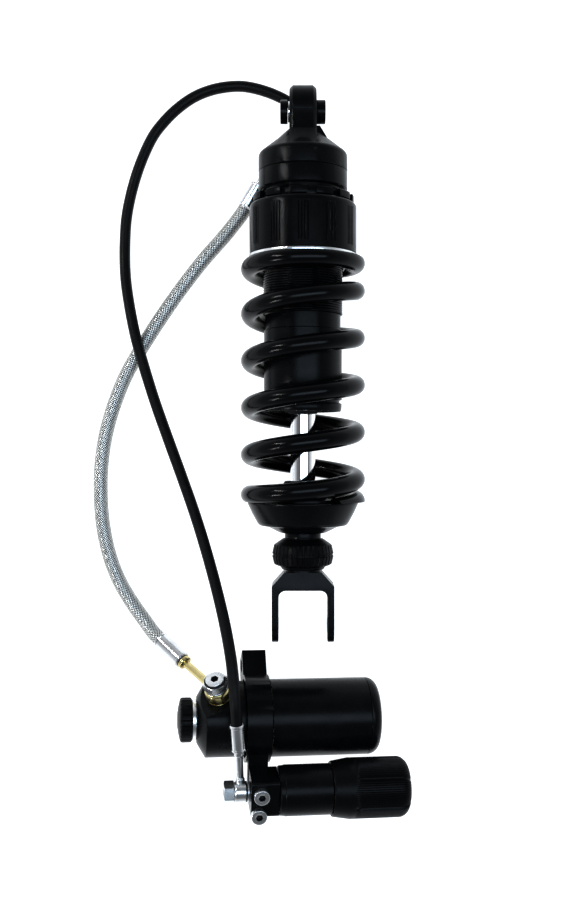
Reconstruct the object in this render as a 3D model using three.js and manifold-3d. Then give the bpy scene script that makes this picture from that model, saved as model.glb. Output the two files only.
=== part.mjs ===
// Coil-over rear shock with a remote reservoir and a remote hydraulic preload adjuster, lying flat.
// Millimetres. The origin is the centre of the top eye, +Y runs up the damper's axis, and +Z is up.
import * as THREE from 'three';
import { mergeVertices } from 'three/addons/utils/BufferGeometryUtils.js';
import Module from 'manifold-3d';

const wasm = await Module();
wasm.setup();

const DEGREE = Math.PI / 180;
const GAP = 0.3; // what touching pieces keep between them
const BIG = 400; // cutting blocks reach this far

// Sides of a round piece, by its size.
const FINE = 36;
const ROUND = 24;
const SMALL = 16;
const TINY = 10;
const COIL_STEPS = 18; // steps in one turn of the spring

// ---------------------------------------------------------------- driving dimensions

const SPRING = {
  coilRadius: 33.8, wireRadius: 5.9, top: -94.2, bottom: -249.5,
  firstTurn: -0.15, lastTurn: 6.15, firstY: -97.2,
  closedPitch: 5.5, openPitch: 30, opensAt: 0.518, closesAt: 5.306, bendTurns: 0.18,
  tuckAt: 5.95, tuckPitch: 16, tuckBend: 0.1,
};

const EYE = {
  lugRadius: 16.4, lugWidth: 17.2, lugChamfer: 1.8, seatRadius: 13.8, raceWidth: 12, ballRadius: 11,
  faceX: 8.3, collarRadius: 7.5, collarEnd: 14.4, boltRadius: 5, stubRadius: 6.6, stubEnd: -9.5,
};
const CAP = { radius: 28.4, shoulder: -32, bottom: -38.8, skirtTop: -34, rearFlat: -23 };
// The lug seen from the side: flat faces at +-front down to frontEnd, then a slope out to the toe.
const LUG_SIDE = { front: 16.2, frontEnd: -14.7, toe: [27.7, -30.4] };
const GUSSET = { half: 7, outline: [[6, -20], [16, -20], [15.2, -14.9], [10.7, -9.2], [6, -8.2]] };
const TUBE = {
  radius: 25.4, bore: 20, top: -34.3, threadEnd: -130, waistRadius: 24.1, waistEnd: -140,
  bottom: -191.7, sealSeat: -183, sealRadius: 21.5,
};
const PORT_RING = { top: -39.1, bottom: -51, radius: 28.4, bossZ: -29.5, bossX: 5.2, bossY: -46.4 };
const LOCK_RING = { top: -54.4, bottom: -59, radius: 32.6, slots: 12, slotWidth: 6, slotFloor: 28.8 };
const HOUSING = {
  top: -59.5, bottom: -91.8, radius: 34.2, chamfer: 1.6,
  pocketTop: -70, pocketInner: 27.6, pocketOuter: 31.6,
};
const SEAT = { top: -92.1, radius: 34.8, sleeveRadius: 26.9, sleeveEnd: -101, bore: 25.8 };
const ROD = { radius: 8, bore: 3, bottom: -286, shoulder: -166, spigot: 5, top: -141 };
const RUN = 0.3; // radial clearance of sliding pieces
const BUMP = { bottom: -247.2, top: -236.2, radius: 15 };
const LOWER_SEAT = { radius: 35.4, pilotTop: -247.5, bottom: -269 };
const CLEVIS = {
  top: -269.3, neckRadius: 11.5, knobTop: -272.6, spigotRadius: 11, knobBottom: -292.8,
  halfWidth: 19.7, halfGap: 15.6, crotch: -304.9, crotchRadius: 4.8, end: -339,
  holeY: -328, holeRadius: 5, depth: 24, waistRadius: 12, flareY: -302.4,
};
const REBOUND = { top: -272.9, bottom: -292.5, radius: 19.7, middle: -283, bore: 11.4 };

// The reservoir and the adjuster share one bracket. Their group is turned as they lie on the table.
const UNIT = { position: [0, -389.5, -9.7], roll: -34, yaw: 8, turn: -0.5 };
const RESERVOIR = {
  radius: 24.4, bore: 21.5, left: -21.7, right: 41, capEnd: 48.5, endRound: 7, capSpigotEnd: 33,
};
const FLOATING = { left: -2, right: 9 };
const BLOCK = {
  left: -68.9, right: -38.6, radius: 23.7, faceRadius: 14.6, chamfer: 5.4, chamberLeft: -54,
  banjoU: -51, banjoTilt: 20, banjoLean: -12, banjoFace: 20.9,
};
const BRACKET = {
  left: -38.3, right: -22.8, loopRadius: 27.5, tabTop: 43.5, tabFront: 8, tabBack: 10.8,
  tabHole: 4.2, tabHoleV: 35.5,
};
const ADJUSTER = {
  v: -46.9, radius: 15.5, bore: 12.5, shoulderRadius: 15, spigotRadius: 7, spigotEnd: -28,
  barrelLeft: -19.2, barrelRight: 13.7, knobLeft: 14, knobRight: 63.2, knobRadius: 18.5,
  knobNeck: 16.8, knobFull: 25, knobRound: 7,
};
const END_BLOCK = {
  left: -36.9, right: -19.5, half: 11.6, front: 12, back: 9, tilt: 46, chamfer: 3,
  screws: [[-30.9, 4.6], [-32.2, -8.4]], armThick: 6.5,
};
const PRELOAD_BANJO_SHANK = 3;
const PRELOAD_BANJO = {
  right: -38.6, thick: 8, radius: 6.6, neckTilt: 40, neckLean: 4, neckLength: 26, headLength: 6.4,
};
const KNOB = {
  left: -79.3, right: -71.9, radius: 14, dome: 2, discLeft: -71.6, discRadius: 12.7,
  needleRadius: 2.7,
};

// Hoses. Each route is the hose's centre line, from its upper fitting to its lower one.
const BRAIDED_RADIUS = 4.75;
const BRAIDED_ROUTE = [
  [-37.9, -54, -31], [-40.8, -58.4, -31.8], [-52, -71.9, -34.7], [-66.1, -88, -34.9],
  [-79.1, -104.6, -34.9],
  [-91, -121.2, -34.9], [-101.9, -137.7, -34.9], [-111.4, -152.9, -34.9], [-119.4, -167.5, -34.9],
  [-126.9, -186.6, -34.9], [-132.5, -206.9, -34.9], [-135.4, -228.4, -34.9],
  [-135.7, -246.6, -34.9], [-134.3, -265.7, -34.9], [-130.4, -284.9, -34.8],
  [-124, -302.3, -34.3], [-114.9, -317.5, -32.2], [-104.8, -330.4, -28.2],
  [-98.6, -337.7, -24.8], [-94.2, -341.1, -21.8],
];
const LOWER_FERRULE_END = [-77.8, -353.4, -10.5];
const PRELOAD_RADIUS = 3.6;
const PRELOAD_ROUTE = [
  [5.2, -9.7, -33.4], [5.1, -5.6, -33.6], [4.2, 0.2, -34.4], [1.1, 7.4, -35.2],
  [-3.7, 13.6, -35.8], [-11, 19.2, -36],
  [-15.8, 21.7, -36], [-23.3, 24.8, -36], [-34.6, 27.9, -36], [-44.1, 28.8, -36], [-59.6, 26.7, -36],
  [-73, 21.5, -36], [-84.5, 13.4, -36], [-93.9, 4, -36], [-101.3, -6.1, -36],
  [-111.4, -29.7, -36], [-118, -56.6, -36], [-119.5, -76.2, -35.7], [-118.9, -98.1, -33.6],
  [-116.3, -116, -30.4], [-110.9, -141.2, -26.2], [-106.7, -155.9, -25.2],
  [-97.6, -184, -21.5], [-87.7, -210.4, -16.5], [-78.8, -233.2, -11], [-69.6, -257.6, -5],
  [-62.1, -279.5, 1.5], [-54.4, -304.7, 9.5], [-48.5, -326.8, 17.5], [-44.5, -346.2, 24.2],
  [-42.7, -360.2, 28.2], [-41.5, -373.5, 29.9], [-40.9, -384.4, 28.4],
];

// ---------------------------------------------------------------- making solids

function signedVolume(points, triangles) {
  const [a, b, c] = [new THREE.Vector3(), new THREE.Vector3(), new THREE.Vector3()];
  let total = 0;
  for (let i = 0; i < triangles.length; i += 3) {
    a.fromArray(points, 3 * triangles[i]);
    b.fromArray(points, 3 * triangles[i + 1]);
    c.fromArray(points, 3 * triangles[i + 2]);
    total += a.dot(b.cross(c)) / 6;
  }
  return total;
}

// A closed three.js geometry as a solid whose faces point out.
function solid(geometry) {
  const bare = geometry.clone();
  bare.deleteAttribute('normal');
  bare.deleteAttribute('uv');
  const merged = mergeVertices(bare, 1e-3);
  const points = merged.attributes.position.array;
  const corners = merged.index.array;
  const triangles = [];
  for (let i = 0; i < corners.length; i += 3) {
    const [a, b, c] = [corners[i], corners[i + 1], corners[i + 2]];
    if (a !== b && b !== c && c !== a) triangles.push(a, b, c);
  }
  if (signedVolume(points, triangles) < 0) triangles.reverse();
  const mesh = new wasm.Mesh({
    numProp: 3,
    vertProperties: new Float32Array(points),
    triVerts: new Uint32Array(triangles),
  });
  return new wasm.Manifold(mesh);
}

function join(...solids) {
  return solids.reduce((a, b) => a.add(b));
}

function cut(body, ...tools) {
  return tools.reduce((a, b) => a.subtract(b), body);
}

// A profile of [radius, y] points turned about the Y axis. It closes on itself or on the axis.
function turned(profile, sides = FINE) {
  const points = profile.map(([radius, y]) => new THREE.Vector2(radius, y));
  if (profile[0][0] > 0) points.push(points[0].clone());
  return solid(new THREE.LatheGeometry(points, sides));
}

// The same about the X axis, with [radius, x] points.
function turnedX(profile, sides = FINE) {
  return turned(profile, sides).rotate([0, 0, -90]);
}

function ring(inner, outer, from, to, sides = FINE) {
  return turned([[inner, from], [outer, from], [outer, to], [inner, to]], sides);
}

function ringX(inner, outer, from, to, sides = FINE) {
  return ring(inner, outer, from, to, sides).rotate([0, 0, -90]);
}

function disc(radius, from, to, sides = FINE) {
  return turned([[0, from], [radius, from], [radius, to], [0, to]], sides);
}

function discX(radius, from, to, sides = FINE) {
  return disc(radius, from, to, sides).rotate([0, 0, -90]);
}

function discZ(radius, from, to, sides = FINE) {
  return disc(radius, from, to, sides).rotate([90, 0, 0]);
}

function box(low, high) {
  const size = high.map((value, i) => value - low[i]);
  const geometry = new THREE.BoxGeometry(...size);
  geometry.translate(...low.map((value, i) => value + size[i] / 2));
  return solid(geometry);
}

// A flat outline of [x, y] points, made thick along Z between the two levels.
function slab(outline, from, to) {
  const shape = new THREE.Shape(outline.map(([x, y]) => new THREE.Vector2(x, y)));
  const geometry = new THREE.ExtrudeGeometry(shape, { depth: to - from, bevelEnabled: false });
  geometry.translate(0, 0, from);
  return solid(geometry);
}

// Points on an arc about [x, y], from one angle to the other, in degrees.
function arc(x, y, radius, from, to, steps) {
  return Array.from({ length: steps + 1 }, (_, i) => {
    const angle = (from + ((to - from) * i) / steps) * DEGREE;
    return [x + radius * Math.cos(angle), y + radius * Math.sin(angle)];
  });
}

// A round bar along a curve.
function bar(curve, radius, steps, sides) {
  const outline = arc(0, 0, radius, 0, 360, sides).slice(0, sides);
  const shape = new THREE.Shape(outline.map(([x, y]) => new THREE.Vector2(x, y)));
  return solid(new THREE.ExtrudeGeometry(shape, { steps, bevelEnabled: false, extrudePath: curve }));
}

function through(route) {
  return new THREE.CatmullRomCurve3(route.map((p) => new THREE.Vector3(...p)), false, 'centripetal');
}

// A round piece turned about its own axis, set at a point and pointing along a direction.
function aimed(body, at, direction) {
  const turn = new THREE.Quaternion();
  turn.setFromUnitVectors(new THREE.Vector3(0, 1, 0), direction.clone().normalize());
  const matrix = new THREE.Matrix4().makeRotationFromQuaternion(turn).setPosition(at);
  return body.transform(matrix.elements);
}

// ---------------------------------------------------------------- finishes and the scene graph

const FINISHES = {
  blackAnodised: { color: 0x15161a, roughness: 0.42, metalness: 0.6 },
  blackCast: { color: 0x121214, roughness: 0.55, metalness: 0.4 },
  springBlack: { color: 0x08080a, roughness: 0.18, metalness: 0.1 },
  silver: { color: 0xc4c7ca, roughness: 0.3, metalness: 1 },
  steel: { color: 0x9a9da1, roughness: 0.35, metalness: 1 },
  chrome: { color: 0xe4e6e8, roughness: 0.05, metalness: 1 },
  brass: { color: 0xb8923a, roughness: 0.3, metalness: 1 },
  rubber: { color: 0x101011, roughness: 0.7, metalness: 0 },
  braid: { color: 0x8e8f8a, roughness: 0.4, metalness: 1 },
  ptfe: { color: 0xd8d3c4, roughness: 0.6, metalness: 0 },
};

const shock = new THREE.Group();
const unit = new THREE.Group();
unit.rotation.set(UNIT.roll * DEGREE, UNIT.yaw * DEGREE, UNIT.turn * DEGREE, 'ZYX');
unit.position.set(...UNIT.position);
shock.add(unit);

function add(name, body, finish, parent = shock) {
  const { vertProperties, triVerts } = body.getMesh();
  const geometry = new THREE.BufferGeometry();
  geometry.setAttribute('position', new THREE.BufferAttribute(new Float32Array(vertProperties), 3));
  geometry.setIndex(new THREE.BufferAttribute(new Uint32Array(triVerts), 1));
  geometry.computeVertexNormals();
  const mesh = new THREE.Mesh(geometry, new THREE.MeshStandardMaterial(FINISHES[finish]));
  mesh.name = name;
  parent.add(mesh);
}

// ---------------------------------------------------------------- top eye

function eye() {
  const { seatRadius, raceWidth, ballRadius, faceX, boltRadius } = EYE;
  const { stubRadius, stubEnd, collarRadius, collarEnd } = EYE;
  const half = raceWidth / 2;
  const outer = seatRadius - GAP;
  const raceArc = Math.asin(half / (ballRadius + RUN)) / DEGREE;
  const inner = arc(0, 0, ballRadius + RUN, raceArc, -raceArc, 6);
  add('eye_bearing_race', turnedX([[outer, -half], [outer, half], ...inner], ROUND), 'steel');
  add('eye_snap_ring', ringX(11.6, outer, half + GAP, half + 1.6, ROUND), 'steel');
  const faceArc = Math.asin(faceX / ballRadius) / DEGREE;
  add('eye_ball', turnedX([
    [boltRadius, stubEnd], [stubRadius, stubEnd], [stubRadius, -faceX],
    ...arc(0, 0, ballRadius, -faceArc, faceArc, 6), [boltRadius, faceX],
  ], ROUND), 'steel');
  const leftCollar = ringX(boltRadius, collarRadius, -collarEnd, stubEnd - GAP, ROUND);
  const rightCollar = ringX(boltRadius, collarRadius, faceX + GAP, collarEnd, ROUND);
  add('eye_collar_left', leftCollar, 'blackAnodised');
  add('eye_collar_right', rightCollar, 'blackAnodised');
}

// ---------------------------------------------------------------- head and damper body

const HEAD_BANJO = {
  x: -13, y: -25, boss: 8.5, radius: 8, thick: 8, washer: 1, head: 5, hex: 8, shank: 4.6,
  shankEnd: -18,
};

function headCap() {
  const { radius, shoulder, bottom, skirtTop, rearFlat } = CAP;
  const half = EYE.lugWidth / 2;
  const cone = turned([
    [0, -9], [half, -10.6], [16.7, -18.3], [22.5, -22.9], [25.4, -25.4], [27.4, -28.8],
    [radius, shoulder], [radius, bottom], [0, bottom],
  ]);
  const { front, frontEnd, toe } = LUG_SIDE;
  const chamfer = EYE.lugChamfer;
  const plan = [
    [half, chamfer - front], [half, front - chamfer], [half - chamfer, front],
    [chamfer - half, front], [-half, front - chamfer], [-half, chamfer - front],
    [chamfer - half, -front], [half - chamfer, -front],
  ];
  const side = [[front, frontEnd], [-front, frontEnd], [-toe[0], toe[1]], toe];
  const lug = join(
    turnedX([
      [0, -half], [EYE.lugRadius - chamfer, -half], [EYE.lugRadius, -half + chamfer],
      [EYE.lugRadius, half - chamfer], [EYE.lugRadius - chamfer, half], [0, half],
    ]),
    slab(plan, frontEnd - 1, 2.3).rotate([-90, 0, 0]),
    slab(side, -half, half).rotate([0, 90, 0]),
  );
  const gusset = slab(GUSSET.outline, -GUSSET.half, GUSSET.half);
  const boss = discZ(HEAD_BANJO.boss, -24, -14, SMALL).translate([HEAD_BANJO.x, HEAD_BANJO.y, 0]);
  const behind = box([-BIG, skirtTop + 0.8, -BIG], [BIG, BIG, rearFlat]);
  const bore = discX(EYE.seatRadius, -BIG, BIG, ROUND);
  const { x, y, shank, shankEnd } = HEAD_BANJO;
  const port = join(
    discZ(shank + GAP, -BIG, shankEnd + GAP, SMALL),
    discZ(2, shankEnd - 4, -6, TINY).translate([0, -4.3, 0]),
  ).translate([x, y, 0]);
  const skirt = disc(TUBE.radius + GAP, -BIG, skirtTop);
  const hollow = disc(17, skirtTop - 1, -30);
  const body = join(cone, lug, gusset, boss);
  add('head_cap', cut(body, behind, bore, join(skirt, hollow), port), 'blackCast');
}

function portRing() {
  const { top, bottom, radius, bossZ, bossX, bossY } = PORT_RING;
  const bore = TUBE.radius + GAP;
  const boss = box([bossX - 8, bottom, bossZ], [bossX + 8, top, -20]);
  const body = cut(join(disc(radius, bottom, top), boss), disc(bore, -BIG, BIG));
  const seat = discZ(3 + GAP, -BIG, bossZ + 2.5, SMALL).translate([bossX, bossY, 0]);
  const port = discZ(1.2, -BIG, -20, TINY).translate([bossX, bossY, 0]);
  add('preload_port_ring', cut(body, seat, port), 'blackAnodised');
}

function damperTube() {
  const { radius, bore, top, threadEnd, waistRadius, waistEnd, bottom, sealSeat, sealRadius } = TUBE;
  add('damper_tube', turned([
    [bore, top], [bore, sealSeat], [sealRadius, sealSeat], [sealRadius, bottom], [24.5, bottom],
    [24.9, bottom + 6], [24.9, waistEnd], [waistRadius, waistEnd], [waistRadius, threadEnd],
    [radius, threadEnd], [radius, top],
  ]), 'blackAnodised');
  const rodBore = ROD.radius + RUN;
  add('seal_head', turned([
    [rodBore, -190.5], [sealRadius - GAP, -190.5], [sealRadius - GAP, sealSeat - GAP],
    [bore - GAP, sealSeat - GAP], [bore - GAP, -177], [rodBore, -177],
  ]), 'blackAnodised');
  add('rod_wiper_seal', ring(rodBore, 12, -193.2, -190.8, ROUND), 'rubber');
}

function lockRing() {
  const { top, bottom, radius, slots, slotWidth, slotFloor } = LOCK_RING;
  const half = slotWidth / 2;
  let body = ring(TUBE.radius + GAP, radius, bottom, top);
  for (let i = 0; i < slots; i += 1) {
    const slot = box([slotFloor, -BIG, -half], [BIG, BIG, half]);
    body = body.subtract(slot.rotate([0, 9.5 + (360 / slots) * i, 0]));
  }
  add('lock_ring', body, 'blackAnodised');
}

function preloadHousing() {
  const { top, bottom, radius, chamfer, pocketTop, pocketInner, pocketOuter } = HOUSING;
  const body = turned([
    [TUBE.radius + GAP, bottom], [radius, bottom], [radius, top - chamfer],
    [radius - chamfer, top], [TUBE.radius + GAP, top],
  ]);
  const pocket = ring(pocketInner, pocketOuter, bottom - 1, pocketTop);
  add('preload_housing', body.subtract(pocket), 'blackAnodised');
  const piston = ring(pocketInner + GAP, pocketOuter - GAP, bottom, -82);
  add('preload_ring_piston', piston, 'steel');
}

function upperSeat() {
  const { top, radius, sleeveRadius, sleeveEnd, bore } = SEAT;
  const flangeEnd = SPRING.top + GAP;
  add('upper_spring_seat', turned([
    [bore, sleeveEnd], [sleeveRadius, sleeveEnd], [sleeveRadius, flangeEnd],
    [radius, flangeEnd], [radius, top], [bore, top],
  ]), 'silver');
}

// ---------------------------------------------------------------- spring

// How far a line has risen that starts level and bends to a slope of 1 around zero.
function rampUp(x, bend) {
  if (x < -bend) return 0;
  return x > bend ? x : (x + bend) ** 2 / (4 * bend);
}

// The wire's centre line: closed end turns, and open turns between them.
class CoilCurve extends THREE.Curve {
  getPoint(share, target = new THREE.Vector3()) {
    const s = SPRING;
    const turn = s.firstTurn + share * (s.lastTurn - s.firstTurn);
    const opened = rampUp(turn - s.opensAt, s.bendTurns) - rampUp(turn - s.closesAt, s.bendTurns);
    const drop = s.closedPitch * turn + (s.openPitch - s.closedPitch) * opened
      + s.tuckPitch * rampUp(turn - s.tuckAt, s.tuckBend);
    const angle = 2 * Math.PI * turn;
    return target.set(
      s.coilRadius * Math.cos(angle), s.firstY - drop, s.coilRadius * Math.sin(angle),
    );
  }
}

function spring() {
  const { firstTurn, lastTurn, wireRadius, top, bottom } = SPRING;
  const steps = Math.round((lastTurn - firstTurn) * COIL_STEPS);
  const wire = bar(new CoilCurve(), wireRadius, steps, 8);
  const ground = box([-BIG, bottom + GAP, -BIG], [BIG, top - GAP / 3, BIG]);
  add('spring', wire.intersect(ground), 'springBlack');
}

// ---------------------------------------------------------------- rod and lower end

function rodAndPiston() {
  const { radius, bore, bottom, shoulder, spigot, top } = ROD;
  add('damper_rod', turned([
    [bore, bottom], [radius, bottom], [radius, shoulder], [spigot, shoulder], [spigot, top],
    [bore, top],
  ], ROUND), 'chrome');
  add('rebound_needle', disc(bore - RUN, bottom - 4, top - 4, TINY), 'steel');
  const hole = spigot + GAP;
  const pistonRadius = TUBE.bore - 0.7;
  add('rebound_shims', ring(hole, 13, -165.6, -161.6, ROUND), 'steel');
  add('piston', turned([
    [hole, -161.3], [pistonRadius, -161.3], [pistonRadius, -158], [18.2, -158], [18.2, -152],
    [pistonRadius, -152], [pistonRadius, -149.3], [hole, -149.3],
  ]), 'silver');
  add('piston_band', ring(18.5, TUBE.bore - GAP, -157.7, -152.3), 'ptfe');
  add('compression_shims', ring(hole, 14, -149, -145.8, ROUND), 'steel');
  add('piston_nut', cut(disc(9, -145.5, -141.2, 6), disc(hole, -BIG, BIG, ROUND)), 'steel');
}

function bumpStop() {
  const { bottom, top, radius } = BUMP;
  const hole = ROD.radius + RUN;
  add('bump_stop', turned([
    [hole, bottom], [radius, bottom], [radius, bottom + 6], [11.5, top], [hole, top],
  ], ROUND), 'rubber');
}

function lowerSeat() {
  const { radius, pilotTop, bottom } = LOWER_SEAT;
  const hole = ROD.radius + RUN;
  const face = SPRING.bottom;
  add('lower_spring_seat', turned([
    [hole, bottom], [15.1, bottom], [23, -264.8], [28.1, -264], [32.5, -256.5], [radius, face],
    [27.2, face], [27.2, pilotTop], [hole, pilotTop],
  ]), 'blackAnodised');
}

function clevis() {
  const c = CLEVIS;
  const half = c.halfWidth;
  const front = slab([
    [-c.waistRadius, c.knobBottom - 1], [-half, c.flareY], [-half, c.end + 3], [-half + 1, c.end + 1],
    [-c.halfGap - 1, c.end], [-c.halfGap, c.end + 1],
    ...arc(-c.halfGap + c.crotchRadius, c.crotch - c.crotchRadius, c.crotchRadius, 180, 90, 4),
    ...arc(c.halfGap - c.crotchRadius, c.crotch - c.crotchRadius, c.crotchRadius, 90, 0, 4),
    [c.halfGap, c.end + 1], [c.halfGap + 1, c.end], [half - 1, c.end + 1], [half, c.end + 3],
    [half, c.flareY], [c.waistRadius, c.knobBottom - 1],
  ], -c.depth / 2, c.depth / 2);
  const edge = c.depth / 2;
  const side = slab([
    [-edge, c.flareY], [-c.waistRadius, c.knobBottom + 1], [c.waistRadius, c.knobBottom + 1],
    [edge, c.flareY], ...arc(0, c.end + edge, edge, 0, -180, 12),
  ], -half - 1, half + 1).rotate([0, 90, 0]);
  const stem = join(
    disc(c.spigotRadius, c.knobBottom - 3, c.top, ROUND),
    disc(c.neckRadius, c.knobTop, c.top, ROUND),
  );
  const rodHole = disc(ROD.radius + GAP, -293, BIG, ROUND);
  const boltHole = discX(c.holeRadius, -BIG, BIG, ROUND).translate([0, c.holeY, 0]);
  add('clevis', cut(join(front.intersect(side), stem), rodHole, boltHole), 'blackAnodised');
}

function reboundKnob() {
  const { top, bottom, radius, middle, bore } = REBOUND;
  add('rebound_knob', turned([
    [bore, bottom], [12.8, bottom], [14.2, bottom + 1.8], [18.6, bottom + 3.8], [radius, middle - 1],
    [radius, middle + 1], [18.6, top - 3.8], [12.8, top], [bore, top],
  ]), 'blackAnodised');
}

// ---------------------------------------------------------------- reservoir unit, in its own frame

function reservoir() {
  const { radius, bore, left, right, capEnd, endRound, capSpigotEnd } = RESERVOIR;
  add('reservoir_tube', ringX(bore, radius, left, right), 'blackAnodised', unit);
  const cap = turnedX([
    [0, capSpigotEnd], [bore - GAP, capSpigotEnd], [bore - GAP, right + GAP], [radius, right + GAP],
    ...arc(radius - endRound, capEnd - endRound, endRound, 0, 90, 4), [7, capEnd], [7, capEnd - 4],
    [0, capEnd - 4],
  ]);
  add('reservoir_cap', cap, 'blackAnodised', unit);
  const valve = turnedX([
    [0, capEnd - 3.7], [5.5, capEnd - 3.7], [5.5, capEnd - 2.4], [3.8, capEnd - 2.2],
    [3.8, capEnd - 0.4], [0, capEnd - 0.4],
  ], SMALL);
  add('gas_fill_valve', valve, 'brass', unit);
  const ringRadius = bore - GAP;
  add('floating_piston', turnedX([
    [0, FLOATING.left + 5], [14, FLOATING.left + 5], [16, FLOATING.left], [ringRadius, FLOATING.left],
    [ringRadius, FLOATING.right], [0, FLOATING.right],
  ]), 'silver', unit);
}

// A shape drawn about the Z axis, set square to the valve block's sloping banjo face.
function onBlock(body) {
  const { banjoU, banjoLean, banjoTilt } = BLOCK;
  return body.rotate([0, banjoLean, 0]).rotate([-banjoTilt, 0, 0]).translate([banjoU, 0, 0]);
}

function valveBlock() {
  const { left, right, radius, faceRadius, chamfer, chamberLeft, banjoFace } = BLOCK;
  const body = turnedX([
    [0, left], [faceRadius, left], [radius, left + chamfer], [radius, right], [18, right],
    [18, chamberLeft], [0, chamberLeft],
  ]);
  const face = onBlock(box([-BIG, -BIG, banjoFace], [BIG, BIG, BIG]));
  const port = onBlock(discZ(5.4, banjoFace - 10, BIG, SMALL));
  const needleHole = discX(3, -BIG, chamberLeft + 1, SMALL);
  add('valve_block', cut(body, face, port, needleHole), 'blackCast', unit);
}

function compressionKnob() {
  const { left, right, radius, dome, discLeft, discRadius, needleRadius } = KNOB;
  const knob = turnedX([
    [0, left - dome], [8, left - dome * 0.7], [12.8, left], [radius, left + 1.2],
    [radius, right - 1], [radius - 1, right], [needleRadius + GAP, right],
    [needleRadius + GAP, right - 5.5], [0, right - 5.5],
  ]);
  add('compression_knob', knob, 'blackAnodised', unit);
  const plate = ringX(3.4, discRadius, discLeft, BLOCK.left - GAP);
  add('compression_dial_plate', plate, 'silver', unit);
  const needle = discX(needleRadius, right - 2.5, BLOCK.chamberLeft + 8, TINY);
  add('compression_needle', needle, 'steel', unit);
}

// A shape drawn about the adjuster's axis with its front face up, set in place in the unit.
function onAdjuster(body) {
  return body.rotate([END_BLOCK.tilt, 0, 0]).translate([0, ADJUSTER.v, 0]);
}

function bracket() {
  const { left, right, loopRadius, tabTop, tabFront, tabBack, tabHole, tabHoleV } = BRACKET;
  const { half, back, armThick } = END_BLOCK;
  const outer = join(
    discX(loopRadius, left, right),
    box([left, 0, -tabBack], [right, tabTop, tabFront]),
    onAdjuster(box([left + 1, -half, -back - armThick], [right - 2, half + 8, -back - GAP])),
  );
  const body = cut(
    outer,
    discX(RESERVOIR.radius + GAP, -BIG, BIG),
    discX(tabHole, -BIG, BIG, SMALL).translate([0, tabHoleV, 0]),
    ...END_BLOCK.screws.map(([u, s]) => onAdjuster(discZ(2.5, -BIG, -back, TINY).translate([u, s, 0]))),
  );
  add('bracket', body, 'blackAnodised', unit);
}

// The square block at the adjuster's end, and the two screws that hold it to the bracket.
function endBlock() {
  const { left, right, half, front, back, chamfer, screws, armThick } = END_BLOCK;
  const outline = [
    [-half, -back], [half, -back], [half, front - 1], [half - 1, front],
    [-half + chamfer, front], [-half, front - chamfer],
  ];
  const block = slab(outline, left, right).rotate([90, 0, 90]);
  const spigotFloor = ADJUSTER.spigotEnd - GAP;
  const body = cut(
    block,
    discX(ADJUSTER.spigotRadius + GAP, spigotFloor, BIG, ROUND),
    discX(PRELOAD_BANJO_SHANK + GAP, -BIG, left + 3.6, SMALL),
    discX(1.5, left + 2, spigotFloor + 1, TINY).translate([0, -2.6, 0]),
    ...screws.map(([u, s]) => discZ(2.6, -BIG, BIG, TINY).translate([u, s, 0])),
  );
  add('adjuster_end_block', onAdjuster(body), 'blackAnodised', unit);
  screws.forEach(([u, s], i) => {
    const shank = discZ(2.2, -back - armThick + 1, front + 1, TINY);
    const head = discZ(4.8, front + GAP, front + 5, SMALL);
    const socket = discZ(2.3, front + 2.6, BIG, 6);
    const screw = join(shank, head).subtract(socket).translate([u, s, 0]);
    add(`clamp_screw_${i + 1}`, onAdjuster(screw), 'silver', unit);
  });
}

function adjuster() {
  const a = ADJUSTER;
  const drop = [0, a.v, 0];
  const barrel = turnedX([
    [0, a.spigotEnd], [a.spigotRadius, a.spigotEnd], [a.spigotRadius, a.barrelLeft],
    [a.shoulderRadius, a.barrelLeft], [a.radius, a.barrelLeft + 3.5],
    [a.radius, a.barrelRight], [a.bore, a.barrelRight], [a.bore, -13], [0, -13],
  ]);
  const port = discX(2, -BIG, -12, TINY);
  add('adjuster_barrel', cut(barrel, port).translate(drop), 'blackAnodised', unit);
  const plunger = turnedX([
    [0, 0.2], [a.bore - GAP, 0.2], [a.bore - GAP, 9], [5, 9], [5, 50], [0, 50],
  ], ROUND);
  add('preload_plunger', plunger.translate(drop), 'steel', unit);
  const knob = turnedX([
    [5.5, a.knobLeft], [a.knobNeck, a.knobLeft], [a.knobRadius, a.knobFull],
    ...arc(a.knobRadius - a.knobRound, a.knobRight - a.knobRound, a.knobRound, 0, 90, 4),
    [0, a.knobRight], [0, 58], [5.5, 58],
  ]);
  add('preload_knob', knob.translate(drop), 'blackAnodised', unit);
}

// ---------------------------------------------------------------- banjo fittings and hoses

// A ferrule that starts at one point and runs along a direction.
function ferrule(radius, length, at, direction) {
  return aimed(disc(radius, 0, length, SMALL), at, direction);
}

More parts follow.
